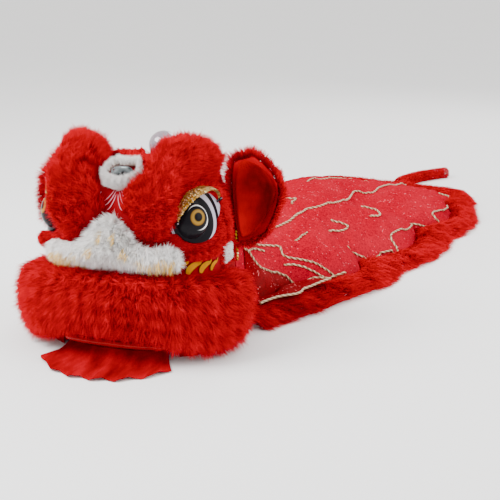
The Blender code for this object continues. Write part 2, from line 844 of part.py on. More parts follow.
def lid_post(name, side, end):
    """Short post on the hinge line at one end of an eyelid, and its foot in the eye's plate."""
    origin, axis, _, normal = lid_frame()
    half = LID_POST_LENGTH / 2.0
    middle = origin + axis * end * (LID_HALF_LENGTH + half)
    ray = (middle - HEAD_CENTRE).normalized()
    height = (middle - HEAD_CENTRE).length - head_reach(ray) - EYE_GAP - EYE_PLATE / 2.0
    bars = (
        ("post", LID_POST_RADIUS, frame_matrix(middle, normal, axis), (-half, half)),
        ("foot", half * 0.9, frame_matrix(middle, axis, ray), (-height, 0.0)),
    )
    parts = []
    for label, radius, placed, (low, high) in bars:
        mesh = bmesh.new()
        add_turned(mesh, [(0.0, low), (radius, low), (radius, high), (0.0, high)], 8)
        bmesh.ops.transform(mesh, matrix=placed, verts=mesh.verts[:])
        bmesh.ops.scale(mesh, vec=(side, 1.0, 1.0), verts=mesh.verts[:])
        parts.append(add_object(f"{name}_{label}", mesh, MATERIALS["eye"]))
    return parts


def build_eyelids():
    """Scoop-shaped lids, each turned about the line through the corners of its eye."""
    origin, axis, lift, normal = lid_frame()
    mesh = bmesh.new()
    steps_along, steps_round = 10, 3
    reach = LID_HALF_LENGTH - FIT_GAP
    grids = []
    for wall in (0.0, LID_WALL):
        grid = []
        for i in range(steps_along + 1):
            offset = reach * math.sin((i / steps_along - 0.5) * math.pi)
            radius = LID_RADIUS * math.sqrt(max(0.0, 1.0 - (offset / reach) ** 2))
            radius = max(radius, LID_POST_RADIUS - LID_WALL) + wall
            line = []
            for j in range(steps_round + 1):
                turn = math.radians(LID_LOW_ANGLE + (LID_HIGH_ANGLE - LID_LOW_ANGLE) * j / steps_round)
                arm = normal * math.cos(turn) + lift * math.sin(turn)
                line.append(mesh.verts.new(origin + axis * offset + arm * radius))
            grid.append(line)
        grids.append(grid)
    close_sheet(mesh, grids)
    lid = add_object("eyelid_left", mesh, MATERIALS["gold"], smooth=True)
    flip_side(lid, "eyelid_right")


def ear_frame():
    """Pin axis outwards, length direction and facing direction of the left ear."""
    axis = head_ray(EAR_TURN, EAR_RISE)
    length = (EAR_LEAN - axis * EAR_LEAN.dot(axis)).normalized()
    facing = axis.cross(length)
    if facing.y > 0.0:
        facing.negate()
    return head_point(EAR_TURN, EAR_RISE), axis, length, facing


def ear_place(a, b, back, margin):
    """A point of the ear's leaf: a runs across, b runs from base to tip, back goes behind."""
    origin, axis, length, facing = ear_frame()
    half = EAR_HALF_WIDTH * table_value(EAR_SECTIONS, b, 1) + margin
    centre = EAR_POST_LENGTH + EAR_FUR_MARGIN + EAR_HALF_WIDTH * table_value(EAR_SECTIONS, b, 2)
    across = 2.0 * a - 1.0
    cup = EAR_CUP_DEPTH * (1.0 - across * across) * math.sin(math.pi * min(1.0, b * 0.9 + 0.08))
    place = origin + axis * (centre + half * across)
    place += length * (EAR_LENGTH * b - EAR_PIN_RADIUS + margin * (2.0 * b - 1.0))
    return place - facing * (cup + back)


def build_ears():
    columns, rows = 6, 7
    mesh = bmesh.new()
    grids = []
    for back in (0.0, EAR_WALL):
        grid = []
        for i in range(columns + 1):
            line = [ear_place(i / columns, j / rows, back, 0.0) for j in range(rows + 1)]
            grid.append([mesh.verts.new(place) for place in line])
        grids.append(grid)
    front, rear = grids
    for i in range(columns):
        for j in range(rows):
            for grid in grids:
                mesh.faces.new((grid[i][j], grid[i + 1][j], grid[i + 1][j + 1], grid[i][j + 1]))
        for j in (0, rows):
            mesh.faces.new((front[i][j], front[i + 1][j], rear[i + 1][j], rear[i][j]))
    for j in range(rows):
        for i in (0, columns):
            mesh.faces.new((front[i][j], front[i][j + 1], rear[i][j + 1], rear[i][j]))
    ear = add_object("ear_left", mesh, MATERIALS["satin"], smooth=True)
    flip_side(ear, "ear_right")

    def fur_place(a, b, top, extra=0.0):
        if top == 0:
            return ear_place(a, b, EAR_WALL + EAR_FUR_GAP, EAR_FUR_MARGIN)
        depth = EAR_WALL + EAR_FUR_GAP + FUR_EDGE + EAR_FUR * pillow(a, 2.0) * pillow(b, 2.5)
        return ear_place(a, b, depth + extra, EAR_FUR_MARGIN)

    mesh = fur_mesh(columns, rows, fur_place, lock=EAR_LOCK, comb=(0.0, 0.6), seed=71)
    fur = add_object("ear_fur_left", mesh, MATERIALS["red_fur"])
    flip_side(fur, "ear_fur_right")
    origin, axis, length, _ = ear_frame()

    def build_post(gap):
        mesh = bmesh.new()
        high = EAR_POST_LENGTH - FIT_GAP
        add_turned(mesh, [(0.0, gap), (EAR_PIN_RADIUS, gap), (EAR_PIN_RADIUS, high), (0.0, high)], 12)
        bmesh.ops.transform(mesh, matrix=frame_matrix(origin, length, axis), verts=mesh.verts[:])
        return mesh

    mesh = build_post(seat_gap(build_post))
    mount = add_object("ear_post_left", mesh, MATERIALS["frame"], smooth=True)
    flip_side(mount, "ear_post_right")


def jaw_outline(inset=0.0, steps=16):
    """Front edge of the jaw from the lion's right to its left, pulled in by inset."""
    points = []
    for step in range(steps + 1):
        angle = math.pi * step / steps
        x = -(JAW_HALF_WIDTH - inset) * math.cos(angle)
        bow = math.sin(angle) ** 0.7 if 0 < step < steps else 0.0
        y = JAW_FRONT + inset + JAW_CORNER_DROP * (1.0 - bow)
        points.append((x, y))
    return points


def build_jaw():
    """Lower jaw board on an axle across the head, with its rolled rim and tongue."""
    mesh = bmesh.new()
    hole = AXLE_RADIUS + AXLE_CLEARANCE
    barrel = hole + SLEEVE_WALL
    outline = jaw_outline() + [(JAW_HALF_WIDTH, JAW_HINGE_Y), (-JAW_HALF_WIDTH, JAW_HINGE_Y)]
    low, high = JAW_Z - JAW_THICK / 2.0, JAW_Z + JAW_THICK / 2.0
    bottom = [mesh.verts.new((x, y, low)) for x, y in outline]
    top = [mesh.verts.new((x, y, high)) for x, y in outline]
    mesh.faces.new(bottom[::-1])
    mesh.faces.new(top)
    for index in range(len(outline)):
        after = (index + 1) % len(outline)
        mesh.faces.new((bottom[index], bottom[after], top[after], top[index]))
    board = add_object("jaw_board", mesh, MATERIALS["board"])
    quarter = Matrix.Rotation(math.pi / 2.0, 4, "Y")
    across = Matrix.Translation((-JAW_HALF_WIDTH, JAW_HINGE_Y, JAW_Z)) @ quarter
    for name, radius, extra, operation in (("sleeve_form", barrel, 0.0, "UNION"),
                                           ("bore_cutter", hole, 0.02, "DIFFERENCE")):
        mesh = bmesh.new()
        ends = (-extra, 2.0 * JAW_HALF_WIDTH + extra)
        add_turned(mesh, [(0.0, ends[0]), (radius, ends[0]), (radius, ends[1]), (0.0, ends[1])], AXLE_SIDES)
        bmesh.ops.transform(mesh, matrix=across, verts=mesh.verts[:])
        add_boolean(board, add_object(name, mesh, MATERIALS["board"]), operation)
    mesh = bmesh.new()
    half = axle_reach()
    profile = [(0.0, -half), (AXLE_RADIUS, -half), (AXLE_RADIUS, half), (0.0, half)]
    add_turned(mesh, profile, AXLE_SIDES)
    turned = Matrix.Translation((0.0, JAW_HINGE_Y, JAW_Z)) @ quarter
    bmesh.ops.transform(mesh, matrix=turned, verts=mesh.verts[:])
    add_object("jaw_axle", mesh, MATERIALS["metal"], smooth=True)
    path = [Vector((x, y, JAW_Z)) for x, y in jaw_outline(-(JAW_RIM_RADIUS + FIT_GAP))]
    tube("jaw_rim", path, JAW_RIM_RADIUS, 8, MATERIALS["gloss"])
    mesh = bmesh.new()
    steps = 12
    start = JAW_FRONT + TONGUE_SETBACK
    shape = []
    for step in range(steps + 1):
        angle = math.pi * step / steps
        y = start + TONGUE_HALF_WIDTH * (1.0 - math.sin(angle))
        shape.append((-TONGUE_HALF_WIDTH * math.cos(angle), y))
    root = TONGUE_HALF_WIDTH * TONGUE_ROOT_SHARE
    shape += [(root, start + TONGUE_LENGTH), (-root, start + TONGUE_LENGTH)]
    base = high + FIT_GAP
    bottom = [mesh.verts.new((x, y, base)) for x, y in shape]
    top = []
    for x, y in shape:
        top.append(mesh.verts.new((x * TONGUE_TOP_SHARE, y + TONGUE_TOP_SHIFT, base + TONGUE_THICK)))
    mesh.faces.new(bottom[::-1])
    mesh.faces.new(top)
    for index in range(len(shape)):
        after = (index + 1) % len(shape)
        mesh.faces.new((bottom[index], bottom[after], top[after], top[index]))
    add_object("tongue", mesh, MATERIALS["satin"])


def axle_reach():
    """Half the axle's length: its rim ends a fit gap inside the head's wall."""
    reach = HEAD_HALF_WIDTH
    for step in range(AXLE_SIDES):
        angle = math.tau * step / AXLE_SIDES
        for side in (1.0, -1.0):
            start = Vector((0.0, JAW_HINGE_Y + AXLE_RADIUS * math.cos(angle),
                            JAW_Z + AXLE_RADIUS * math.sin(angle)))
            reach = min(reach, SHELL_TREE.ray_cast(start, Vector((side, 0.0, 0.0)))[3])
    return reach - FIT_GAP


def tube(name, path, radius, sides, material):
    """A closed round bar along a path of points."""
    mesh = bmesh.new()
    rings = []
    for index, place in enumerate(path):
        before = path[max(0, index - 1)]
        after = path[min(len(path) - 1, index + 1)]
        heading = (after - before).normalized()
        side = heading.cross(Vector((0.0, 0.0, 1.0))).normalized()
        over = side.cross(heading)
        ring = []
        for step in range(sides):
            angle = math.tau * step / sides
            ring.append(mesh.verts.new(place + (side * math.cos(angle) + over * math.sin(angle)) * radius))
        rings.append(ring)
    for low, high in zip(rings, rings[1:]):
        for step in range(sides):
            after = (step + 1) % sides
            mesh.faces.new((low[step], low[after], high[after], high[step]))
    mesh.faces.new(rings[0][::-1])
    mesh.faces.new(rings[-1])
    return add_object(name, mesh, material, smooth=True)


def build_beard():
    """Pleated cloth that hangs from the jaw rim and lies out on the floor."""
    columns, rows = 4 * BEARD_PLEATS, 3
    mesh = bmesh.new()
    grids = []
    start_z = JAW_Z - JAW_RIM_RADIUS - FIT_GAP - BEARD_THICK
    top_half = JAW_HALF_WIDTH * BEARD_TOP_SHARE
    for lift in (0.0, BEARD_THICK):
        grid = []
        for i in range(columns + 1):
            a = i / columns
            across = 2.0 * a - 1.0
            line = []
            for j in range(rows + 1):
                b = j / rows
                half = top_half + (BEARD_HALF_WIDTH - top_half) * b
                rim_y = JAW_FRONT - JAW_RIM_RADIUS + JAW_CORNER_DROP * abs(across) ** 3.0
                reach = BEARD_REACH * (1.0 - BEARD_SIDE_CUT * abs(across) ** BEARD_SIDE_POWER)
                drop = start_z * max(0.0, 1.0 - b * BEARD_DROP_RATE) ** BEARD_DROP_POWER
                wave = 0.5 - 0.5 * math.cos(math.tau * BEARD_PLEATS * a)
                pleat = BEARD_PLEAT * smooth_step(b * BEARD_PLEAT_RATE) * wave
                line.append(mesh.verts.new((half * across, rim_y - reach * b, drop + pleat + lift)))
            grid.append(line)
        grids.append(grid)
    close_sheet(mesh, grids)
    add_object("beard", mesh, MATERIALS["satin"])


def close_sheet(mesh, grids):
    """Faces of a sheet between its under and upper grids, with its four edges."""
    under, upper = grids
    columns, rows = len(under) - 1, len(under[0]) - 1
    for i in range(columns):
        for j in range(rows):
            for grid in grids:
                mesh.faces.new((grid[i][j], grid[i + 1][j], grid[i + 1][j + 1], grid[i][j + 1]))
        for j in (0, rows):
            mesh.faces.new((under[i][j], under[i + 1][j], upper[i + 1][j], upper[i][j]))
    for j in range(rows):
        for i in (0, columns):
            mesh.faces.new((under[i][j], under[i][j + 1], upper[i][j + 1], upper[i][j]))


def spine_place(travel):
    """Point on the floor below the spine, and the heading there, after a travel from the neck."""
    steps = 24
    place = Vector((0.0, HEAD_CENTRE.y + 0.105, 0.0))
    step = travel / steps
    heading = 0.0
    for index in range(steps):
        so_far = (index + 0.5) * step
        heading = math.radians(BODY_TURN) * smooth_step(so_far / BODY_TURN_LENGTH)
        place += Vector((math.sin(heading), math.cos(heading), 0.0)) * step
    return place, heading


def lobe(share):
    """Scalloped side of the cloth: 1 at a lobe's tip and 0 in the notch between two."""
    phase = share * LOBE_COUNT + LOBE_PHASE
    return abs(math.sin(math.pi * phase)) ** LOBE_POWER


def fold_height(across, share):
    """Soft slanting folds of the laid cloth, none at the hem or at the neck."""
    slant = math.sin(math.tau * (2.1 * share * LOBE_COUNT / 4.0 + 0.9 * across))
    cross = math.sin(math.tau * (3.3 * share - 1.3 * across) + 1.1)
    ends = smooth_step(share / 0.18) * smooth_step((1.0 - share) / 0.12)
    return FOLD_DEPTH * (slant + 0.8 * cross + 1.0) * ends * (1.0 - across ** 4.0)


def cloth_place(across, share, lift=0.0, seam_gap=SEAT_LIMIT):
    """A point of the cloth: across from -1 at the right hem to 1 at the left, share rearwards."""
    size = abs(across)
    side = math.copysign(1.0, across)
    turn = 180.0 - side * (180.0 - NECK_SIDE_TURN) * size ** 0.8
    start = floor_rise(turn, seam_gap)
    rise = start + (NECK_TOP_RISE - start) * (1.0 - size ** 3.0)
    seam = head_point(turn, rise, seam_gap + lift)
    if size == 1.0:
        seam.z = lift
    place, heading = spine_place(share * CLOTH_LENGTH)
    out = Vector((math.cos(heading), -math.sin(heading), 0.0))
    half = CLOTH_HALF_WIDTH * table_value(BODY_SECTIONS, share, 1)
    fade = smooth_step((share - LOBE_START) / LOBE_FADE)
    half *= 1.0 - LOBE_DEPTH * fade * (1.0 - lobe(share))
    ridge = RIDGE_HEIGHT * table_value(BODY_SECTIONS, share, 2)
    ridge_fold = fold_height(across, share)
    power = table_value(BODY_SECTIONS, share, 3)
    angle = math.pi / 2.0 * (1.0 - size)
    x = side * half * math.cos(angle) ** (2.0 / power)
    z = ridge * math.sin(angle) ** (2.0 / power) + ridge_fold if size < 1.0 else 0.0
    if size == 0.0:
        x = 0.0
    section = place + out * x + Vector((0.0, 0.0, z))
    outward = Vector((0.0, 0.0, 1.0)) + out * side * size * 0.6
    section += outward.normalized() * lift if size < 1.0 else Vector((0.0, 0.0, lift))
    carried = seam + place - spine_place(0.0)[0]
    mix = smooth_step(share / NECK_BLEND)
    return carried.lerp(section, mix)


def flank_mesh(side, seam_gap):
    """One flank of the body cloth, seated against the head's rear at its first station."""
    mesh = bmesh.new()
    grids = []
    for lift in (0.0, CLOTH_THICK):
        grid = []
        for i in range(CLOTH_STRIPS + 1):
            line = []
            for j in range(CLOTH_STATIONS + 1):
                share = j / CLOTH_STATIONS
                place = cloth_place(side * i / CLOTH_STRIPS, share, lift, seam_gap)
                if i == 0:
                    heading = spine_place(share * CLOTH_LENGTH)[1]
                    out = Vector((math.cos(heading), -math.sin(heading), 0.0))
                    place += out * side * FIT_GAP / 2.0
                line.append(mesh.verts.new(place))
            grid.append(line)
        grids.append(grid)
    close_sheet(mesh, grids)
    bmesh.ops.triangulate(mesh, faces=mesh.faces[:])
    return mesh


def build_body_cloth():
    """The two flanks of the body cloth, which meet along the spine; returns the seam's gap."""
    gap = max(seat_gap(lambda value, side=side: flank_mesh(side, value)) for side in (1.0, -1.0))
    for side, name in ((1.0, "body_cloth_left"), (-1.0, "body_cloth_right")):
        add_object(name, flank_mesh(side, gap), MATERIALS["cloth"])
    return gap


def build_hem_fur(seam_gap):
    """Bands of fur round the hem, lying on the floor; returns the rear band's width."""
    for side in (1.0, -1.0):
        line = []
        for j in range(CLOTH_STATIONS + 1):
            share = j / CLOTH_STATIONS
            edge = cloth_place(side, share, 0.0, seam_gap)
            edge.z = 0.0
            heading = spine_place(share * CLOTH_LENGTH)[1]
            turn_back = math.radians(HEM_FAN) * smooth_step((share - HEM_FAN_START) / (1.0 - HEM_FAN_START))
            angle = heading + turn_back
            out = Vector((side * math.cos(turn_back), math.sin(turn_back), 0.0))
            out = Matrix.Rotation(-heading, 4, "Z") @ out
            smooth_half = CLOTH_HALF_WIDTH * table_value(BODY_SECTIONS, share, 1)
            centre = spine_place(share * CLOTH_LENGTH)[0]
            inset = smooth_half - (edge - centre).length
            width = HEM_FUR_WIDTH * table_value(BODY_SECTIONS, share, 4)
            width += max(0.0, inset) * HEM_NOTCH_FILL
            line.append((edge, out, width))
        name = "hem_fur_left" if side > 0.0 else "hem_fur_right"
        fur_band(name, line, 81 if side > 0.0 else 82)
    rear = []
    columns = 2 * CLOTH_STRIPS
    heading = spine_place(CLOTH_LENGTH)[1]
    for i in range(columns + 1):
        across = 1.0 - 2.0 * i / columns
        edge = cloth_place(across, 1.0, 0.0, seam_gap)
        edge.z = 0.0
        fan = math.radians(HEM_FAN) * abs(across) ** 3.0
        out = Vector((math.copysign(math.sin(fan), across), math.cos(fan), 0.0))
        out = Matrix.Rotation(-heading, 4, "Z") @ out
        rear.append((edge, out, line[-1][2]))
    fur_band("hem_fur_rear", rear, 83, FIT_GAP * 2.0)
    return line[-1][2]


def fur_band(name, line, seed, trim=0.0):
    """A closed band of fur outside a line of floor points, each with its direction and width."""
    mesh = bmesh.new()
    chance = random.Random(seed)
    rings = []
    for index, (edge, out, width) in enumerate(line):
        shift = Vector((0.0, 0.0, 0.0))
        if trim and index in (0, len(line) - 1):
            inward = (line[1][0] - edge) if index == 0 else (line[-2][0] - edge)
            shift = inward.normalized() * trim
        ring = []
        for across, height in HEM_PROFILE:
            spot = edge + shift + out * (HEM_GAP + width * across)
            spot.z = HEM_FUR_HEIGHT * height
            ring.append(mesh.verts.new(spot))
        rings.append(ring)
    count = len(HEM_PROFILE)
    for index, (first, second) in enumerate(zip(rings, rings[1:])):
        out = line[index][1]
        for step in range(count):
            after = (step + 1) % count
            quad = (first[step], first[after], second[after], second[step])
            if step in (0, 3):
                mesh.faces.new(quad)
                continue
            middle = sum((vert.co for vert in quad), Vector()) / 4.0
            push = HEM_LOCK * chance.uniform(*HEM_LOCK_SPREAD)
            middle += (out + Vector((0.0, 0.0, 1.0))) * push * HEM_LOCK_LEAN
            peak = mesh.verts.new(middle)
            for one, two in zip(quad, quad[1:] + quad[:1]):
                mesh.faces.new((one, two, peak))
    mesh.faces.new(rings[0])
    mesh.faces.new(rings[-1])
    add_object(name, mesh, MATERIALS["red_fur"])


def build_tail(rear_width):
    """Stuffed cloth tail lying on the floor behind the body."""
    start, heading = spine_place(CLOTH_LENGTH)
    ahead = Vector((math.sin(heading), math.cos(heading), 0.0))
    base = start + ahead * (HEM_GAP + rear_width + 2.0 * FIT_GAP)
    path = []
    steps = 10
    for step in range(steps + 1):
        share = step / steps
        angle = heading + math.radians(TAIL_TURN) * share
        path.append(Vector(base))
        path[-1].z = TAIL_RADIUS
        base = base + Vector((math.sin(angle), math.cos(angle), 0.0)) * TAIL_LENGTH / steps
    tube("tail", path, TAIL_RADIUS, 12, MATERIALS["cloth"])


def place_origins():
    """Put the origin of every moving piece on the axis that it turns about."""
    jaw = Vector((0.0, JAW_HINGE_Y, JAW_Z))
    lid = lid_frame()[0]
    ear = ear_frame()[0]
    right = Vector((-1.0, 1.0, 1.0))
    origins = {"jaw_board": jaw, "jaw_rim": jaw, "tongue": jaw, "beard": jaw}
    for hand, side in (("left", Vector((1.0, 1.0, 1.0))), ("right", right)):
        origins[f"eyelid_{hand}"] = lid * side
        origins[f"ear_{hand}"] = ear * side
        origins[f"ear_fur_{hand}"] = ear * side
    for name, origin in origins.items():
        thing = bpy.data.objects[name]
        thing.data.transform(Matrix.Translation(-origin))
        thing.location = origin


def centre_on_box():
    """Move everything so that the origin is the bottom centre of the box round the model."""
    bpy.context.view_layer.update()
    graph = bpy.context.evaluated_depsgraph_get()
    low = Vector((1e9, 1e9, 1e9))
    high = -low
    for thing in bpy.data.objects:
        if thing.type != "MESH" or thing.hide_render:
            continue
        shape = thing.evaluated_get(graph).to_mesh()
        for vert in shape.vertices:
            spot = thing.matrix_world @ vert.co
            for axis in range(3):
                low[axis] = min(low[axis], spot[axis])
                high[axis] = max(high[axis], spot[axis])
    shift = Vector((-(low.x + high.x) / 2.0, -(low.y + high.y) / 2.0, -low.z))
    for thing in bpy.data.objects:
        thing.location += shift


clear_scene()
MATERIALS = {
    "skin": make_material("painted_skin", RED, 0.45),
    "red_fur": make_material("red_fur", RED, 0.85),
    "white_fur": make_material("white_fur", WHITE, 0.85),
    "satin": make_material("dark_satin", DARK_RED, 0.40),
    "cloth": make_material("sequin_cloth", CLOTH_RED, 0.40),
    "gold": make_material("gold", GOLD, 0.35, 1.0),
    "eye": make_material("eye_paint", BLACK, 0.15),
    "mirror": make_material("mirror_glass", GREY, 0.05, 1.0),
    "clear": make_material("clear_plastic", CLEAR, 0.05),
    "gloss": make_material("gloss_rim", RED, 0.15),
    "board": make_material("jaw_paint", RED, 0.40),
    "metal": make_material("steel", GREY, 0.30, 1.0),
    "frame": make_material("frame", DARK_RED, 0.60),
}
SHELL_TREE = build_head_shell()
build_lip_fur()
build_brow_fur()
build_crown_fur()
build_cheek_fur()
build_side_strips()
build_nose_fur()
build_forehead()
build_ball()
build_eyes()
build_eyelids()
build_ears()
build_jaw()
build_beard()
build_tail(build_hem_fur(build_body_cloth()))
place_origins()
centre_on_box()
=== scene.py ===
"""Looks of the lion dance costume: fur, eyes, brocade cloth, cords and painted details."""
import json
import math

import bmesh
import bpy
import numpy as np
from mathutils import Matrix, Vector, noise


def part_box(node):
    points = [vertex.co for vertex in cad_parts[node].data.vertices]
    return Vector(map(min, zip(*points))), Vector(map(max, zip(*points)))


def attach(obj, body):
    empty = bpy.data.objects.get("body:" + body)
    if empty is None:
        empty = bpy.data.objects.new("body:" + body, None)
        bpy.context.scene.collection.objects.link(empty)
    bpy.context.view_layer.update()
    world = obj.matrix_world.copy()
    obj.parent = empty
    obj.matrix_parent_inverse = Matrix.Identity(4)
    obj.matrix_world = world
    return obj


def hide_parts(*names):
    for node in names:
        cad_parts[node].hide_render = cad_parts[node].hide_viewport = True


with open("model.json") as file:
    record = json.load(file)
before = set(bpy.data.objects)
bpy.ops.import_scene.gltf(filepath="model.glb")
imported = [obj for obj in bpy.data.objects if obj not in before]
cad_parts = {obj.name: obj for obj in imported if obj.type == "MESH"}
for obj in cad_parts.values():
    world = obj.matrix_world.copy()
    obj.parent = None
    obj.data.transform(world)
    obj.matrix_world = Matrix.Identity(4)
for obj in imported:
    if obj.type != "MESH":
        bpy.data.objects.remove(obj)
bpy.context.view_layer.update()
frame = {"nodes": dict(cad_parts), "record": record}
ROOT = "head_and_body"
RNG = np.random.default_rng(7)
noise.seed_set(7)

# Head form, as in the part: a rounded dome about a centre inside it
JAW_HINGE = Vector((0.0, 0.120, 0.040))
HEAD_HALF_WIDTH = 0.285
HEAD_FRONT = 0.210
HEAD_BACK = 0.280
HEAD_UP = 0.352
HEAD_DOWN = 0.800
HEAD_POWER = 2.9
SHELL_WALL = 0.004
MOUTH_HALF_WIDTH = 0.195
MOUTH_HEIGHT = 0.100
NECK_HALF_WIDTH = 0.150
NECK_HEIGHT = 0.280
EYE_TURN = 58.0
EYE_RISE = 37.0

hinge = next(j for j in frame["record"]["behaviour"]["joints"] if j["name"] == "jaw_hinge")
ORIGIN = Vector(hinge["pos_m"]) - JAW_HINGE
HEAD_CENTRE = ORIGIN + Vector((0.0, 0.075, 0.215))

# Body cloth, as in the part
CLOTH_LENGTH = 2.200
CLOTH_HALF_WIDTH = 0.500
RIDGE_HEIGHT = 0.360
FOLD_DEPTH = 0.012
BODY_TURN = 13.0
BODY_TURN_LENGTH = 0.500
LOBE_COUNT = 4
LOBE_DEPTH = 0.230
NECK_TOP_RISE = 32.0
NECK_SIDE_TURN = 112.0
NECK_BLEND = 0.130
# share along the body, width share, ridge share, section power
BODY_SECTIONS = (
    (0.00, 0.56, 1.00, 3.0),
    (0.08, 0.60, 0.76, 2.5),
    (0.16, 0.68, 0.60, 2.1),
    (0.26, 0.80, 0.57, 1.8),
    (0.36, 0.98, 0.58, 1.6),
    (0.52, 1.00, 0.54, 1.6),
    (0.68, 1.02, 0.44, 1.6),
    (0.84, 0.94, 0.30, 1.7),
    (0.94, 0.80, 0.18, 1.9),
    (1.00, 0.66, 0.10, 2.0),
)

# Eye, ear, ball and beard sizes, as in the part
EYE_GAP = 0.0020
EYE_PLATE = 0.008
EYEBALL_RADIUS = 0.048
EYEBALL_DEPTH = 0.038
EYEBALL_SHARE = 0.98
LID_HALF_LENGTH = 0.100
LID_POST_RADIUS = 0.006
LID_POST_LENGTH = 0.008
# share of the circle from the rear, reach of the eye from the ball's middle
EYE_OUTLINE = (
    (0.00, 0.110),
    (0.05, 0.168),
    (0.10, 0.138),
    (0.16, 0.080),
    (0.22, 0.064),
    (0.30, 0.055),
    (0.40, 0.050),
    (0.45, 0.052),
    (0.50, 0.076),
    (0.55, 0.052),
    (0.60, 0.050),
    (0.70, 0.055),
    (0.78, 0.062),
    (0.86, 0.076),
    (0.93, 0.094),
    (1.00, 0.110),
)
EAR_TURN = 104.0
EAR_RISE = 20.0
EAR_LEAN = Vector((0.10, 0.46, 0.88))
BALL_RADIUS = 0.050
JAW_HALF_WIDTH = 0.165
JAW_FRONT = -0.150
JAW_CORNER_DROP = 0.045
JAW_Z = 0.040
JAW_RIM_RADIUS = 0.010
BEARD_HALF_WIDTH = 0.215
BEARD_REACH = 0.190
BEARD_PLEAT = 0.006
BEARD_PLEATS = 6
HEM_FUR_HEIGHT = 0.046
CLOTH_THICK = 0.0025
# Measured on the part: the seam's gap to the head
CLOTH_SEAM = 0.00235

# Cords on the cloth's left side: share of the half width, share of the length
CORDS = {
    "spine_cord": ((0.42, 0.10), (0.35, 0.19), (0.28, 0.29), (0.33, 0.41), (0.35, 0.44), (0.31, 0.54),
                   (0.25, 0.66), (0.28, 0.72), (0.22, 0.80), (0.24, 0.90), (0.18, 0.985)),
    "front_cord": ((0.42, 0.17), (0.50, 0.225), (0.60, 0.219), (0.68, 0.231), (0.75, 0.256), (0.83, 0.275),
                   (1.02, 0.300), (1.03, 0.282), (0.88, 0.262), (0.75, 0.228), (0.70, 0.205)),
    "rear_cord": ((0.72, 0.40), (0.87, 0.425), (0.99, 0.448), (1.00, 0.481), (0.87, 0.500), (0.72, 0.512),
                  (0.70, 0.550), (0.80, 0.620), (0.90, 0.675), (0.97, 0.730), (0.82, 0.728), (0.73, 0.750),
                  (0.80, 0.840), (0.92, 0.920), (0.86, 0.965), (0.60, 0.985)),
    "neck_loop": ((0.70, 0.07), (0.62, 0.09), (0.50, 0.12), (0.47, 0.17), (0.52, 0.19)),
    "short_loop": ((0.50, 0.27), (0.46, 0.30), (0.45, 0.32)),
    "ridge_loop": ((0.23, 0.40), (0.17, 0.44), (0.10, 0.43)),
    "middle_loop": ((0.47, 0.43), (0.54, 0.45), (0.56, 0.42), (0.53, 0.39)),
    "rear_loop": ((0.40, 0.56), (0.48, 0.58), (0.54, 0.55), (0.52, 0.52)),
}
CORD_RADIUS = 0.0042
# Leaf flap over the fur behind the head: upper and lower edges, from its root to its tip
FLAP_UPPER = ((0.74, 0.045), (0.68, 0.120), (0.78, 0.185), (0.96, 0.215), (1.16, 0.238))
FLAP_LOWER = ((1.12, 0.035), (1.17, 0.090), (1.20, 0.140), (1.20, 0.190), (1.16, 0.238))

# Fur: node, material, strands, length, root width, comb (down, rear), spread
FURS = (
    ("upper_lip_fur", "red", 42000, 0.046, 0.0020, (0.22, 0.20), 0.42),
    ("brow_fur_left", "red", 24000, 0.040, 0.0020, (-0.20, 0.40), 0.45),
    ("brow_fur_right", "red", 24000, 0.040, 0.0020, (-0.20, 0.40), 0.45),
    ("crown_fur", "red", 16000, 0.030, 0.0024, (0.30, 0.50), 0.50),
    ("cap_fur", "red", 1500, 0.010, 0.0016, (0.0, 0.6), 0.40),
    ("cheek_fur_left", "red", 3500, 0.018, 0.0018, (0.40, 0.30), 0.50),
    ("cheek_fur_right", "red", 3500, 0.018, 0.0018, (0.40, 0.30), 0.50),
    ("temple_fur_left", "red", 3500, 0.020, 0.0018, (0.20, 0.60), 0.50),
    ("temple_fur_right", "red", 3500, 0.020, 0.0018, (0.20, 0.60), 0.50),
    ("side_trim_left", "white", 2200, 0.012, 0.0016, (0.30, 0.20), 0.40),
    ("side_trim_right", "white", 2200, 0.012, 0.0016, (0.30, 0.20), 0.40),
    ("nose_fur", "white", 16000, 0.036, 0.0018, (0.35, 0.10), 0.50),
    ("forehead_fur", "white", 8500, 0.026, 0.0017, (0.30, 0.05), 0.60),
)
# Height that the lip's fur is drawn up to over the mouth, and where that fades out to the sides
LIP_FUR_BOTTOM = 0.066
MOUTH_FUR_EDGE = 0.190
MOUTH_FUR_FADE = 0.040
HEM_FURS = (("hem_fur_left", 33000), ("hem_fur_right", 31000), ("hem_fur_rear", 9000))
HEM_FUR_LENGTH = 0.048
HEM_FUR_WIDTH = 0.0023
EAR_STRANDS = 12000
EAR_FUR_LENGTH = 0.030
EAR_EDGE_FUR_LENGTH = 0.036
EAR_FUR_WIDTH = 0.0022
FACE_STRANDS = 20000
FACE_FUR_LENGTH = 0.017
FACE_FUR_WIDTH = 0.0020
TAIL_STRANDS = 9000
TAIL_PILE_LENGTH = 0.015
TAIL_PILE_WIDTH = 0.0022
TUFT_LENGTH = 0.032
TUFT_WIDTH = 0.0020
LID_SEQUINS = 900
LID_SEQUIN_RADIUS = 0.0034


def table_value(rows, at, column):
    """Read one column of a table of sections, in straight lines between its rows."""
    return float(np.interp(at, [row[0] for row in rows], [row[column] for row in rows]))


def smooth_step(value):
    clipped = min(1.0, max(0.0, value))
    return clipped * clipped * (3.0 - 2.0 * clipped)


def head_ray(turn, rise):
    across = math.cos(math.radians(rise))
    return Vector((math.sin(math.radians(turn)) * across, -math.cos(math.radians(turn)) * across,
                   math.sin(math.radians(rise))))


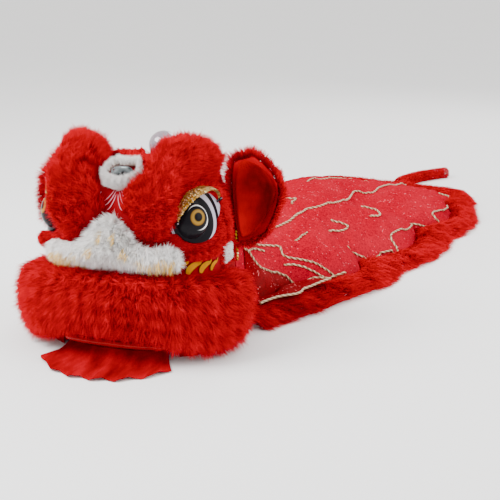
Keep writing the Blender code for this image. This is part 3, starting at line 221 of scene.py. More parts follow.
def head_reach(ray):
    depth = HEAD_FRONT if ray.y < 0.0 else HEAD_BACK
    height = HEAD_UP if ray.z > 0.0 else HEAD_DOWN
    total = abs(ray.x / HEAD_HALF_WIDTH) ** HEAD_POWER
    total += abs(ray.y / depth) ** HEAD_POWER
    total += abs(ray.z / height) ** HEAD_POWER
    return total ** (-1.0 / HEAD_POWER)


def head_point(turn, rise, lift=0.0):
    ray = head_ray(turn, rise)
    return HEAD_CENTRE + ray * (head_reach(ray) + lift)


def floor_rise(turn, lift=0.0):
    low, high = -80.0, 0.0
    for _ in range(30):
        middle = (low + high) / 2.0
        if head_point(turn, middle, lift).z < 0.0:
            low = middle
        else:
            high = middle
    return high


def new_object(name, mesh, material, body=ROOT, smooth=True):
    if smooth:
        mesh.shade_smooth()
    mesh.materials.append(material)
    thing = bpy.data.objects.new(name, mesh)
    bpy.context.scene.collection.objects.link(thing)
    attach(thing, body)
    return thing


def from_bmesh(name, shape, material, body=ROOT, smooth=True):
    mesh = bpy.data.meshes.new(name)
    shape.to_mesh(mesh)
    shape.free()
    return new_object(name, mesh, material, body, smooth)


# Materials


# No mirror-like share: at grazing angles it would turn red fur and cloth white
FUR_SPECULAR = 0.0
CLOTH_SPECULAR = 0.0


class Nodes:
    """A material's node tree with short ways to add and join nodes."""

    def __init__(self, name, roughness=0.5, metallic=0.0, specular=0.5):
        self.material = bpy.data.materials.new(name)
        self.material.use_nodes = True
        self.tree = self.material.node_tree
        self.shader = self.tree.nodes["Principled BSDF"]
        self.shader.inputs["Roughness"].default_value = roughness
        self.shader.inputs["Metallic"].default_value = metallic
        self.shader.inputs["Specular IOR Level"].default_value = specular

    def add(self, kind, inputs=None, **settings):
        node = self.tree.nodes.new(kind)
        for key, value in settings.items():
            setattr(node, key, value)
        for key, value in (inputs or {}).items():
            if isinstance(value, bpy.types.NodeSocket):
                self.tree.links.new(value, node.inputs[key])
            else:
                node.inputs[key].default_value = value
        return node

    def place(self):
        return self.add("ShaderNodeTexCoord").outputs["Object"]

    def uv(self):
        return self.add("ShaderNodeTexCoord").outputs["UV"]

    def noise(self, scale, detail=3.0, vector=None, stretch=None, roughness=0.5):
        source = vector or self.place()
        if stretch:
            source = self.add("ShaderNodeMapping", {"Vector": source, "Scale": stretch}).outputs[0]
        inputs = {"Vector": source, "Scale": scale, "Detail": detail, "Roughness": roughness}
        return self.add("ShaderNodeTexNoise", inputs).outputs["Fac"]

    def ramp(self, value, stops, smooth=True):
        node = self.add("ShaderNodeValToRGB", {"Fac": value})
        ramp = node.color_ramp
        ramp.interpolation = "LINEAR" if smooth else "CONSTANT"
        while len(ramp.elements) < len(stops):
            ramp.elements.new(0.5)
        for element, (at, colour) in zip(ramp.elements, stops):
            element.position = at
            element.color = (*colour, 1.0)
        return node.outputs["Color"]

    def math(self, operation, first, second=0.0, third=0.0):
        return self.add("ShaderNodeMath", {0: first, 1: second, 2: third}, operation=operation).outputs[0]

    def mix(self, factor, first, second):
        inputs = {"Factor": factor, "A": first, "B": second}
        node = self.tree.nodes.new("ShaderNodeMix")
        node.data_type = "RGBA"
        for key, value in inputs.items():
            socket = next(s for s in node.inputs if s.name == key and s.enabled)
            if isinstance(value, bpy.types.NodeSocket):
                self.tree.links.new(value, socket)
            elif key == "Factor":
                socket.default_value = value
            else:
                socket.default_value = (*value, 1.0)
        return next(s for s in node.outputs if s.enabled)

    def bump(self, height, strength=0.4, distance=0.002):
        inputs = {"Height": height, "Strength": strength, "Distance": distance}
        node = self.add("ShaderNodeBump", inputs)
        self.tree.links.new(node.outputs["Normal"], self.shader.inputs["Normal"])

    def colour(self, value):
        self.link(value, "Base Color")

    def link(self, value, name):
        self.tree.links.new(value, self.shader.inputs[name])


def fur_material(name, root, middle, tip):
    """Strands darker at the root and lighter at the tip, a painted shade gradient down into the fur, each a
    little different.
    """
    nodes = Nodes(name, 0.85, specular=FUR_SPECULAR)
    tone = nodes.add("ShaderNodeAttribute", attribute_name="tone").outputs["Fac"]
    nodes.colour(nodes.ramp(tone, ((0.0, root), (0.40, middle), (1.0, tip))))
    return nodes.material


def sequin_material(name, base, glint_colour, density):
    """Cloth covered in small sequins, each lying at its own angle, with painted shade on sequins turned away,
    a painted sheen and a few of them flashing with painted glints.
    """
    nodes = Nodes(name, 0.45, specular=CLOTH_SPECULAR)
    cells = nodes.add("ShaderNodeTexVoronoi", {"Vector": nodes.place(), "Scale": density})
    chance = nodes.add("ShaderNodeSeparateColor", {"Color": cells.outputs["Color"]}).outputs["Red"]
    patches = nodes.noise(30.0, 4.0)
    # Sequins turned at random get darker copies of the base: painted shade of their angles.
    dark = tuple(value * 0.50 for value in base)
    shade = nodes.ramp(chance, ((0.0, dark), (0.55, base), (1.0, base)))
    # A few sequins, more of them in broad patches, take the glint colour: painted glints.
    lift = nodes.math("MULTIPLY_ADD", patches, 0.34, 0.72)
    bright = nodes.math("GREATER_THAN", nodes.math("MULTIPLY", chance, lift), 0.885)
    # Soft paler bands mixed into the colour: painted sheen.
    waves = nodes.noise(8.0, 5.0, stretch=(1.0, 0.6, 1.0))
    sheen = nodes.ramp(waves, ((0.40, (0.0, 0.0, 0.0)), (0.62, (1.0, 1.0, 1.0))))
    pale = tuple(0.55 * low + 0.45 * high for low, high in zip(base, glint_colour))
    shade = nodes.mix(nodes.math("MULTIPLY", sheen, 0.14), shade, pale)
    nodes.colour(nodes.mix(bright, shade, glint_colour))
    nodes.link(nodes.math("MULTIPLY", bright, 0.2), "Metallic")
    height = nodes.math("MULTIPLY_ADD", patches, 2.0, chance)
    nodes.bump(height, 0.35, 0.0008)
    return nodes.material


def satin_material(name, base, light, scale):
    """Smooth cloth with a painted sheen in soft crosswise bands and a fine weave."""
    nodes = Nodes(name, 0.50, specular=CLOTH_SPECULAR)
    # Paler crosswise bands over the base: painted sheen.
    painted_sheen_bands = nodes.noise(scale, 3.0, stretch=(1.0, 0.35, 1.0))
    nodes.colour(nodes.ramp(painted_sheen_bands, ((0.3, base), (0.7, light))))
    nodes.bump(nodes.noise(900.0, 1.0), 0.25, 0.001)
    return nodes.material


def paint_material(name, base, roughness, coat, specular=0.5):
    """Lacquer with slight unevenness."""
    nodes = Nodes(name, roughness, specular=specular)
    low = tuple(value * 0.78 for value in base)
    nodes.colour(nodes.ramp(nodes.noise(22.0, 4.0), ((0.25, low), (0.75, base))))
    nodes.shader.inputs["Coat Weight"].default_value = coat
    nodes.bump(nodes.noise(60.0, 3.0), 0.12, 0.002)
    return nodes.material


def gilt_material(name, base, roughness, scale):
    """Gold sequins and leaf: cells at random darker, as painted shade, or near white gold, as painted glints,
    over the gold.
    """
    nodes = Nodes(name, roughness, 0.85)
    cells = nodes.add("ShaderNodeTexVoronoi", {"Vector": nodes.place(), "Scale": scale})
    chance = nodes.add("ShaderNodeSeparateColor", {"Color": cells.outputs["Color"]}).outputs["Green"]
    low = tuple(value * 0.45 for value in base)
    # Dark cells are painted shade and the palest cells painted glints.
    nodes.colour(nodes.ramp(chance, ((0.1, low), (0.6, base), (1.0, (1.0, 0.86, 0.48)))))
    nodes.bump(cells.outputs["Distance"], 0.6, 0.003)
    return nodes.material


def cord_material():
    """Cream and gold cord with its two plies showing, darkened towards the grooves between the plies as
    painted shade.
    """
    nodes = Nodes("twisted_cord", 0.5, 0.25)
    split = nodes.add("ShaderNodeSeparateXYZ", {"Vector": nodes.uv()})
    turns = nodes.math("ADD", split.outputs["X"], nodes.math("MULTIPLY", split.outputs["Y"], 1.0))
    wave = nodes.math("SINE", nodes.math("MULTIPLY", turns, math.tau))
    shade = nodes.math("MULTIPLY_ADD", wave, 0.5, 0.5)
    # Dark brown in the grooves and cream on the crests: painted shade and painted highlight across each ply.
    plies = ((0.0, (0.14, 0.06, 0.02)), (0.5, (0.42, 0.26, 0.13)), (1.0, (0.66, 0.50, 0.32)))
    nodes.colour(nodes.ramp(shade, plies))
    nodes.bump(shade, 0.5, 0.001)
    return nodes.material


EYE_TANGENT = (-0.038, -0.048)
EYE_BANDS = (0.072, 0.083, 0.095, 0.116)
PUPIL_RADIUS = 0.0100
IRIS_RADIUS = 0.0215
CRESCENT_INNER = (0.0, 0.0, 0.0310)
CRESCENT_OUTER = (0.0060, 0.0016, 0.0335)


def eye_material():
    """Gold iris, white crescent and curved white bands on glossy black, by the eye's own UV."""
    nodes = Nodes("painted_eye", 0.15, specular=0.05)
    split = nodes.add("ShaderNodeSeparateXYZ", {"Vector": nodes.uv()})
    x, y = split.outputs["X"], split.outputs["Y"]

    def distance(centre_x, centre_y):
        dx = nodes.math("SUBTRACT", x, centre_x)
        dy = nodes.math("SUBTRACT", y, centre_y)
        squares = nodes.math("ADD", nodes.math("MULTIPLY", dx, dx), nodes.math("MULTIPLY", dy, dy))
        return squares, dx, dy

    def step(value, edge, soft=0.0008):
        inputs = {0: value, 1: edge - soft, 2: edge + soft}
        node = nodes.add("ShaderNodeMapRange", inputs, clamp=True)
        return node.outputs[0]

    squares, dx, dy = distance(*EYE_TANGENT)
    ahead = nodes.math("MULTIPLY", nodes.math("ADD", dx, dy), math.sqrt(2.0))
    reach = nodes.math("DIVIDE", squares, nodes.math("MAXIMUM", ahead, 0.0005))
    black = (0.006, 0.005, 0.007)
    white = (0.46, 0.42, 0.50)
    colour = nodes.mix(step(reach, EYE_BANDS[0]), black, white)
    for edge, after in zip(EYE_BANDS[1:], (black, white, black)):
        colour = nodes.mix(step(reach, edge), colour, after)
    inner = nodes.math("SQRT", distance(*CRESCENT_INNER[:2])[0])
    outer = nodes.math("SQRT", distance(*CRESCENT_OUTER[:2])[0])
    in_outer = nodes.math("SUBTRACT", 1.0, step(outer, CRESCENT_OUTER[2]))
    colour = nodes.mix(in_outer, colour, (0.80, 0.80, 0.80))
    colour = nodes.mix(step(inner, CRESCENT_INNER[2]), black, colour)
    iris = nodes.ramp(nodes.math("MULTIPLY", inner, 1.0 / IRIS_RADIUS),
                      ((0.46, (0.03, 0.012, 0.001)), (0.62, (0.30, 0.17, 0.03)),
                       (0.86, (0.24, 0.12, 0.02)), (1.0, (0.02, 0.01, 0.002))))
    colour = nodes.mix(step(inner, IRIS_RADIUS), iris, colour)
    colour = nodes.mix(step(inner, PUPIL_RADIUS), black, colour)
    nodes.colour(colour)
    nodes.shader.inputs["Coat Weight"].default_value = 0.03
    nodes.bump(nodes.noise(45.0, 2.0), 0.06, 0.002)
    return nodes.material


def glass_material():
    nodes = Nodes("clear_ball", 0.03)
    nodes.colour(nodes.ramp(nodes.noise(8.0), ((0.0, (0.50, 0.42, 0.48)), (1.0, (0.72, 0.66, 0.72)))))
    nodes.shader.inputs["Transmission Weight"].default_value = 0.88
    nodes.shader.inputs["IOR"].default_value = 1.30
    nodes.shader.inputs["Coat Weight"].default_value = 1.0
    return nodes.material


def mirror_material():
    nodes = Nodes("mirror_face", 0.06, 1.0)
    # Near-black and grey patches over the mirror's face: painted reflections.
    patches = ((0.38, (0.010, 0.012, 0.014)), (0.62, (0.30, 0.33, 0.34)))
    nodes.colour(nodes.ramp(nodes.noise(18.0, 2.0), patches))
    nodes.bump(nodes.noise(14.0, 1.0), 0.08, 0.004)
    return nodes.material


def make_materials():
    made = {}
    # Root colours are darker than the tips: painted shade at the roots of the fur.
    made["red"] = fur_material("red_fur", (0.10, 0.0, 0.002), (0.46, 0.0, 0.008), (0.74, 0.0, 0.018))
    made["white"] = fur_material("white_fur", (0.78, 0.68, 0.58), (0.96, 0.95, 0.93), (1.0, 1.0, 1.0))
    made["gold_fur"] = fur_material("gold_fur", (0.62, 0.40, 0.16), (0.86, 0.56, 0.12), (0.92, 0.66, 0.20))
    made["skin"] = paint_material("red_skin", (0.30, 0.0, 0.006), 0.60, 0.0, 0.03)
    made["cloth"] = sequin_material("sequin_cloth", (0.42, 0.0, 0.016), (0.75, 0.09, 0.12), 260.0)
    made["satin"] = satin_material("dark_satin", (0.08, 0.0, 0.0), (0.36, 0.0, 0.004), 9.0)
    made["beard"] = satin_material("beard_satin", (0.16, 0.0, 0.002), (0.40, 0.0, 0.008), 22.0)
    # The flap's sequin cloth is about half as bright as the body cloth: painted shade over the whole flap.
    made["flap"] = sequin_material("flap_cloth", (0.20, 0.0, 0.004), (0.80, 0.16, 0.16), 260.0)
    made["gloss"] = paint_material("gloss_red", (0.46, 0.0, 0.004), 0.20, 0.12, 0.10)
    made["paint"] = paint_material("jaw_paint", (0.40, 0.003, 0.008), 0.35, 0.4)
    made["gilt"] = gilt_material("gilt_sequins", (0.55, 0.27, 0.02), 0.30, 260.0)
    made["core"] = gilt_material("gilt_core", (0.80, 0.42, 0.01), 0.35, 60.0)
    made["cord"] = cord_material()
    made["eye"] = eye_material()
    made["glass"] = glass_material()
    made["mirror"] = mirror_material()
    made["swirl"] = paint_material("swirl_paint", (0.95, 0.45, 0.55), 0.5, 0.0, 0.1)
    made["flame"] = paint_material("flame_paint", (0.90, 0.40, 0.0), 0.5, 0.0, 0.05)
    made["ink"] = paint_material("ink_paint", (0.012, 0.001, 0.001), 0.5, 0.0, 0.05)
    made["steel"] = paint_material("steel_bar", (0.45, 0.46, 0.48), 0.3, 0.0)
    made["steel"].node_tree.nodes["Principled BSDF"].inputs["Metallic"].default_value = 1.0
    return made


# Fur


def make_strands(name, roots, directions, bends, lengths, widths, tones):
    """One mesh of flat tapered strands: a quad and a tip each."""
    count = len(roots)
    sideways = np.cross(directions, RNG.normal(size=(count, 3)))
    sideways /= np.linalg.norm(sideways, axis=1)[:, None] + 1e-9
    middle = roots + directions * (lengths * 0.5)[:, None]
    later = directions + bends
    later /= np.linalg.norm(later, axis=1)[:, None] + 1e-9
    tips = middle + later * (lengths * 0.5)[:, None]
    half = sideways * (widths * 0.5)[:, None]
    points = np.stack((roots - half, roots + half, middle + half * 0.8, middle - half * 0.8, tips), axis=1)
    first = np.arange(count, dtype=np.int32)[:, None] * 5
    loops = (first + np.array([0, 1, 2, 3, 3, 2, 4], dtype=np.int32)).ravel()
    mesh = bpy.data.meshes.new(name)
    mesh.vertices.add(count * 5)
    mesh.vertices.foreach_set("co", points.astype(np.float32).ravel())
    mesh.loops.add(count * 7)
    mesh.loops.foreach_set("vertex_index", loops)
    mesh.polygons.add(count * 2)
    starts = (np.arange(count)[:, None] * 7 + np.array([0, 4])).ravel()
    mesh.polygons.foreach_set("loop_start", starts.astype(np.int32))
    tone = mesh.attributes.new("tone", "FLOAT", "POINT")
    # Tone kept low at each strand's root and middle: painted shade down in the fur, over the strand's random
    # tone.
    shade = np.stack((tones * 0.2, tones * 0.2, tones * 0.65, tones * 0.65, tones), axis=1)
    tone.data.foreach_set("value", shade.astype(np.float32).ravel())
    mesh.update(calc_edges=True)
    mesh.validate()
    return mesh


def read_places(mesh):
    """Coordinates of a mesh's points in one flat row."""
    places = np.empty(len(mesh.vertices) * 3, dtype=np.float32)
    mesh.vertices.foreach_get("co", places)
    return places


def drifts(spots, scale):
    """A slowly turning direction at each point, so that neighbouring strands lie alike."""
    return np.array([noise.noise_vector(Vector(spot) * scale) for spot in spots])


def clumps_at(spots, scale):
    """A slowly changing tone at each point."""
    return np.array([noise.noise(Vector(spot) * scale) for spot in spots])


def triangles(thing):
    """Corner points of a mesh's triangles in the row frame, and their outward normals."""
    mesh = thing.data
    mesh.calc_loop_triangles()
    places = read_places(mesh).reshape(-1, 3)
    corners = np.empty(len(mesh.loop_triangles) * 3, dtype=np.int32)
    mesh.loop_triangles.foreach_get("vertices", corners)
    faces = places[corners.reshape(-1, 3)]
    normals = np.cross(faces[:, 1] - faces[:, 0], faces[:, 2] - faces[:, 0])
    return faces.astype(float), normals.astype(float)


def sample(faces, normals, count):
    """Random points on triangles, even by area, with their unit normals."""
    areas = np.linalg.norm(normals, axis=1)
    chosen = RNG.choice(len(faces), size=count, p=areas / areas.sum())
    u, v = RNG.random(count), RNG.random(count)
    over = u + v > 1.0
    u[over], v[over] = 1.0 - u[over], 1.0 - v[over]
    picked = faces[chosen]
    first, second, third = picked[:, 0], picked[:, 1], picked[:, 2]
    spots = first + (second - first) * u[:, None] + (third - first) * v[:, None]
    return spots, normals[chosen] / (areas[chosen][:, None] + 1e-12)


def unit(rows):
    return rows / (np.linalg.norm(rows, axis=1)[:, None] + 1e-9)


def undercoat(node, shrink):
    """The CAD skin of one patch of fur, rounded and drawn in a little, below its strands."""
    shape = bmesh.new()
    shape.from_mesh(frame["nodes"][node].data)
    bmesh.ops.remove_doubles(shape, verts=shape.verts[:], dist=1e-5)
    for _ in range(2):
        bmesh.ops.smooth_vert(shape, verts=shape.verts[:], factor=0.5, use_axis_x=True,
                              use_axis_y=True, use_axis_z=True)
    for vert in shape.verts:
        vert.co -= vert.normal * shrink
        vert.co.z = max(vert.co.z, 0.0005)
    return shape


def strands_on(node, count, length, width, comb, spread):
    """Fur strands over a patch on the head, rooted on the CAD's locks."""
    faces, normals = triangles(frame["nodes"][node])
    centre = np.array(HEAD_CENTRE)
    middles = faces.mean(axis=1)
    outward = unit(middles - centre)
    keep = (unit(normals) * outward).sum(axis=1) > 0.12
    roots, facing = sample(faces[keep], normals[keep], count)
    radial = unit(roots - centre)
    down = np.array([0.0, 0.0, -1.0]) - radial * (-radial[:, 2:3])
    rear = np.array([0.0, 1.0, 0.0]) - radial * radial[:, 1:2]
    drift = drifts(roots, 9.0)
    directions = radial * 0.55 + facing * 0.45 + down * comb[0] + rear * comb[1]
    directions += drift * spread + RNG.normal(size=(count, 3)) * 0.13
    directions = unit(directions)
    bends = np.array([0.0, 0.0, -0.35]) + drift * spread * 0.6
    lengths = length * RNG.uniform(0.6, 1.15, count)
    clumps = clumps_at(roots, 26.0)
    tones = np.clip(RNG.uniform(0.55, 1.0, count) + clumps * 0.25, 0.05, 1.0)
    roots = roots - facing * 0.004 - directions * length * 0.25
    widths = width * RNG.uniform(0.7, 1.2, count)
    return make_strands(node, roots, directions, bends, lengths, widths, tones)


def shorten_over_mouth(mesh):
    """Draw the lip's strands up over the mouth, so that the jaw's rim shows below them."""
    places = read_places(mesh)
    across = np.abs(places[0::3] - HEAD_CENTRE.x)
    over = np.clip((MOUTH_FUR_EDGE - across) / MOUTH_FUR_FADE, 0.0, 1.0) * (places[1::3] < HEAD_CENTRE.y)
    under = np.minimum(places[2::3] - LIP_FUR_BOTTOM, 0.0)
    places[2::3] -= under * over * 0.75
    mesh.vertices.foreach_set("co", places)


def dress_fur(node, colour, strands, materials, body=ROOT):
    """Strands and undercoat as one piece that stands for the CAD patch."""
    shape = undercoat(node, 0.006)
    # The undercoat takes the low tone of the strands' roots: painted shade under the fur, with random tone
    # from the noise.
    layer = shape.verts.layers.float.new("tone")
    for vert in shape.verts:
        vert[layer] = 0.30 + 0.12 * noise.noise(vert.co * 30.0)
    shape.from_mesh(strands)
    bpy.data.meshes.remove(strands)
    thing = from_bmesh(node + "_strands", shape, materials[colour], body, smooth=False)
    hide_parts(node)
    return thing


def build_furs(materials):
    for node, colour, count, length, width, comb, spread in FURS:
        mesh = strands_on(node, count, length, width, comb, spread)
        lift_to_floor(mesh)
        if node == "upper_lip_fur":
            shorten_over_mouth(mesh)
        dress_fur(node, colour, mesh, materials)
    for node, count in HEM_FURS:
        faces, normals = triangles(frame["nodes"][node])
        keep = unit(normals)[:, 2] > 0.08
        roots, facing = sample(faces[keep], normals[keep], count)
        out = away_from_spine(roots)
        drift = drifts(roots, 9.0)
        directions = out * 0.75 + facing * 0.55 + drift * 0.65 + RNG.normal(size=(count, 3)) * 0.14
        directions = unit(directions)
        lengths = HEM_FUR_LENGTH * RNG.uniform(0.55, 1.1, count)
        bends = np.array([0.0, 0.0, -0.55]) + drift * 0.4
        clumps = clumps_at(roots, 22.0)
        tones = np.clip(RNG.uniform(0.5, 1.0, count) + clumps * 0.25, 0.05, 1.0)
        roots = roots - facing * 0.003 - directions * HEM_FUR_LENGTH * 0.3
        roots[:, 2] = np.maximum(roots[:, 2], 0.002)
        widths = HEM_FUR_WIDTH * RNG.uniform(0.7, 1.2, count)
        mesh = make_strands(node, roots, directions, bends, lengths, widths, tones)
        lift_to_floor(mesh)
        dress_fur(node, "red", mesh, materials)


def lift_to_floor(mesh):
    places = read_places(mesh)
    places[2::3] = np.maximum(places[2::3], 0.0005)
    mesh.vertices.foreach_set("co", places)


def spine_place(travel):
    """Point on the floor below the spine, and the heading there, after a travel from the neck."""
    steps = 24
    place = ORIGIN + Vector((0.0, 0.180, 0.0))
    heading = 0.0
    for index in range(steps):
        so_far = (index + 0.5) * travel / steps
        heading = math.radians(BODY_TURN) * smooth_step(so_far / BODY_TURN_LENGTH)
        place = place + Vector((math.sin(heading), math.cos(heading), 0.0)) * travel / steps
    place.z = 0.0
    return place, heading


def away_from_spine(points):
    """Horizontal unit vectors from the nearest point of the spine to each point."""
    line = np.array([spine_place(CLOTH_LENGTH * step / 40.0)[0][:2] for step in range(40)])
    gaps = points[:, None, :2] - line[None, :, :]
    nearest = np.linalg.norm(gaps, axis=2).argmin(axis=1)
    away = gaps[np.arange(len(points)), nearest]
    return unit(np.column_stack((away, np.zeros(len(points)))))


# Head


def head_skin():
    """Smooth dome of covered frame with the mouth and neck cut away, as in the part."""
    sectors, rows = 96, 36
    shape = bmesh.new()
    grids = []
    for lift in (0.0, -SHELL_WALL):
        grid = []
        for row in range(rows + 1):
            ring = []
            for sector in range(sectors):
                turn = 360.0 * sector / sectors
                start = floor_rise(turn, lift)
                rise = start + (89.5 - start) * row / rows
                place = head_point(turn, rise, lift)
                if row == 0:
                    place.z = 0.0
                ring.append(shape.verts.new(place))
            grid.append(ring)
        grids.append(grid)
    for grid in grids:
        for low, high in zip(grid, grid[1:]):
            for sector in range(sectors):
                after = (sector + 1) % sectors
                shape.faces.new((low[sector], low[after], high[after], high[sector]))
        shape.faces.new(grid[-1])
    for sector in range(sectors):
        after = (sector + 1) % sectors
        shape.faces.new((grids[0][0][sector], grids[1][0][sector], grids[1][0][after], grids[0][0][after]))
    bmesh.ops.recalc_face_normals(shape, faces=shape.faces[:])
    thing = from_bmesh("head_skin", shape, MATERIALS["skin"])
    front = HEAD_CENTRE.y - HEAD_FRONT
    cuts = (
        (HEAD_CENTRE.x, front - 0.1, front + HEAD_FRONT / 2.0, MOUTH_HALF_WIDTH, MOUTH_HEIGHT),
        (HEAD_CENTRE.x, HEAD_CENTRE.y + HEAD_BACK / 2.0, HEAD_CENTRE.y + HEAD_BACK + 0.1,
         NECK_HALF_WIDTH, NECK_HEIGHT),
    )
    for middle, near, far, half, height in cuts:
        cut_box(thing, (middle - half, near, -0.05), (middle + half, far, height))
    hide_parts("head_shell")


def cut_box(thing, low, high):
    """Cut a box out of a piece, and keep the result as its mesh."""
    shape = bmesh.new()
    bmesh.ops.create_cube(shape, size=1.0)
    low, high = Vector(low), Vector(high)
    bmesh.ops.scale(shape, vec=high - low, verts=shape.verts[:])
    bmesh.ops.translate(shape, vec=(high + low) / 2.0, verts=shape.verts[:])
    mesh = bpy.data.meshes.new("cutter")
    shape.to_mesh(mesh)
    shape.free()
    cutter = bpy.data.objects.new("cutter", mesh)
    bpy.context.scene.collection.objects.link(cutter)
    modifier = thing.modifiers.new("cut", "BOOLEAN")
    modifier.operation = "DIFFERENCE"
    modifier.object = cutter
    bpy.context.view_layer.update()
    graph = bpy.context.evaluated_depsgraph_get()
    done = bpy.data.meshes.new_from_object(thing.evaluated_get(graph))
    thing.modifiers.clear()
    thing.data = done
    bpy.data.objects.remove(cutter, do_unlink=True)


def eye_place(x, y, lift, side):
    """A point over an eye: x runs to the rear and y up, from the middle of the ball."""
    outward = head_ray(EYE_TURN, EYE_RISE)
    along = Vector((math.cos(math.radians(EYE_TURN)), math.sin(math.radians(EYE_TURN)), 0.0))
    upward = outward.cross(along)
    ray = (outward * head_reach(outward) + along * x + upward * y).normalized()
    place = ray * (head_reach(ray) + lift)
    return HEAD_CENTRE + Vector((side * place.x, place.y, place.z))


def build_eyes():
    """Bulging painted eyes on shaped plates."""
    sectors, inner_rings, outer_rings = 80, 14, 8
    ball = EYEBALL_RADIUS * EYEBALL_SHARE
    for side, hand in ((1.0, "left"), (-1.0, "right")):
        shape = bmesh.new()
        layer = shape.loops.layers.uv.new("UVMap")
        flat = {}
        rows = []
        for ring in range(inner_rings + outer_rings + 2):
            row = []
            for sector in range(sectors):
                share = sector / sectors
                reach = max(table_value(EYE_OUTLINE, share, 1), EYEBALL_RADIUS)
                if ring <= inner_rings:
                    radius = ball * math.sin(math.pi / 2.0 * ring / inner_rings)
                    dome = EYEBALL_DEPTH * math.cos(math.pi / 2.0 * ring / inner_rings)
                else:
                    out = min(1.0, (ring - inner_rings) / outer_rings)
                    radius = ball + (reach - ball) * out
                    dome = 0.0
                lift = EYE_GAP + EYE_PLATE + dome if ring <= inner_rings + outer_rings else 0.001
                x = radius * math.cos(math.tau * share)
                y = radius * math.sin(math.tau * share)
                vert = shape.verts.new(eye_place(x, y, lift, side))
                flat[vert] = (x, y)
                row.append(vert)
            rows.append(row)
        for low, high in zip(rows, rows[1:]):
            for sector in range(sectors):
                after = (sector + 1) % sectors
                shape.faces.new((low[sector], low[after], high[after], high[sector]))
        shape.faces.new(rows[-1])
        for face in shape.faces:
            for loop in face.loops:
                loop[layer].uv = flat[loop.vert]
        bmesh.ops.remove_doubles(shape, verts=shape.verts[:], dist=1e-6)
        bmesh.ops.recalc_face_normals(shape, faces=shape.faces[:])
        for path, radius in lid_posts(hand):
            add_tube(shape, path, radius, 12)
        thing = from_bmesh("painted_eye_" + hand, shape, MATERIALS["eye"])
        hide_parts("eye_" + hand)


def lid_posts(hand):
    """Paths and radii of an eye's hinge posts and their feet, on the recorded hinge line."""
    joints = frame["record"]["behaviour"]["joints"]
    hinge = next(joint for joint in joints if joint["name"] == "lid_hinge_" + hand)
    axis, origin = Vector(hinge["axis"]).normalized(), Vector(hinge["pos_m"])
    half = LID_POST_LENGTH / 2.0
    paths = []
    for end in (-1.0, 1.0):
        middle = origin + axis * end * (LID_HALF_LENGTH + half)
        ray = (middle - HEAD_CENTRE).normalized()
        foot = HEAD_CENTRE + ray * (head_reach(ray) + EYE_GAP + EYE_PLATE / 2.0)
        paths.append(([middle - axis * half, middle + axis * half], LID_POST_RADIUS))
        paths.append(([foot, middle], half * 0.9))
    return paths


def add_sequins(name, node, count, radius, material, body):
    """Small round sequins laid over a CAD piece, each tilted a little."""
    faces, normals = triangles(frame["nodes"][node])
    roots, facing = sample(faces, normals, count)
    shape = bmesh.new()
    for root, normal in zip(roots, facing):
        tilt = Vector(normal) + Vector(RNG.normal(size=3) * 0.22)
        turn = tilt.to_track_quat("Z", "Y").to_matrix()
        rim = []
        for step in range(6):
            angle = math.tau * step / 6.0
            spot = Vector((math.cos(angle) * radius, math.sin(angle) * radius, 0.0006))
            rim.append(shape.verts.new(Vector(root) + turn @ spot))
        peak = shape.verts.new(Vector(root) + turn @ Vector((0.0, 0.0, 0.0016)))
        for first, second in zip(rim, rim[1:] + rim[:1]):
            shape.faces.new((first, second, peak))
    thing = from_bmesh(name, shape, material, body, smooth=False)


def ear_frame(side):
    """Outward, length and facing directions of one ear."""
    axis = head_ray(EAR_TURN, EAR_RISE)
    length = (EAR_LEAN - axis * EAR_LEAN.dot(axis)).normalized()
    facing = axis.cross(length)
    if facing.y > 0.0:
        facing.negate()
    return [Vector((side * v.x, v.y, v.z)) for v in (axis, length, facing)]


def strands_on_ear(hand, count):
    """Long fur behind and round one ear, splayed over its front edge."""
    side = 1.0 if hand == "left" else -1.0
    axis, length, facing = (np.array(v) for v in ear_frame(side))
    faces, normals = triangles(frame["nodes"]["ear_fur_" + hand])
    turned = unit(normals) @ facing
    keep = turned < 0.35
    weights = normals[keep] * np.where(np.abs(turned[keep]) < 0.6, 3.0, 1.0)[:, None]
    roots, normal = sample(faces[keep], weights, count)
    middle = faces.reshape(-1, 3).mean(axis=0)
    away = roots - middle
    away = unit(away - np.outer(away @ facing, facing))
    edge = (np.abs(normal @ facing) < 0.6)[:, None]
    drift = drifts(roots, 16.0)
    directions = normal * 0.5 + away * 0.5 + length * 0.35 + drift * 0.5
    directions += np.where(edge, 0.55, 0.0) * facing + RNG.normal(size=(count, 3)) * 0.15
    lengths = np.where(edge[:, 0], EAR_EDGE_FUR_LENGTH, EAR_FUR_LENGTH) * RNG.uniform(0.6, 1.1, count)
    tones = RNG.uniform(0.5, 1.0, count)
    bends = drift * 0.4 + np.array([0.0, 0.0, -0.3])
    directions = unit(directions)
    roots = roots - directions * 0.006
    widths = EAR_FUR_WIDTH * RNG.uniform(0.7, 1.2, count)
    return make_strands("ear_" + hand, roots, directions, bends, lengths, widths, tones)


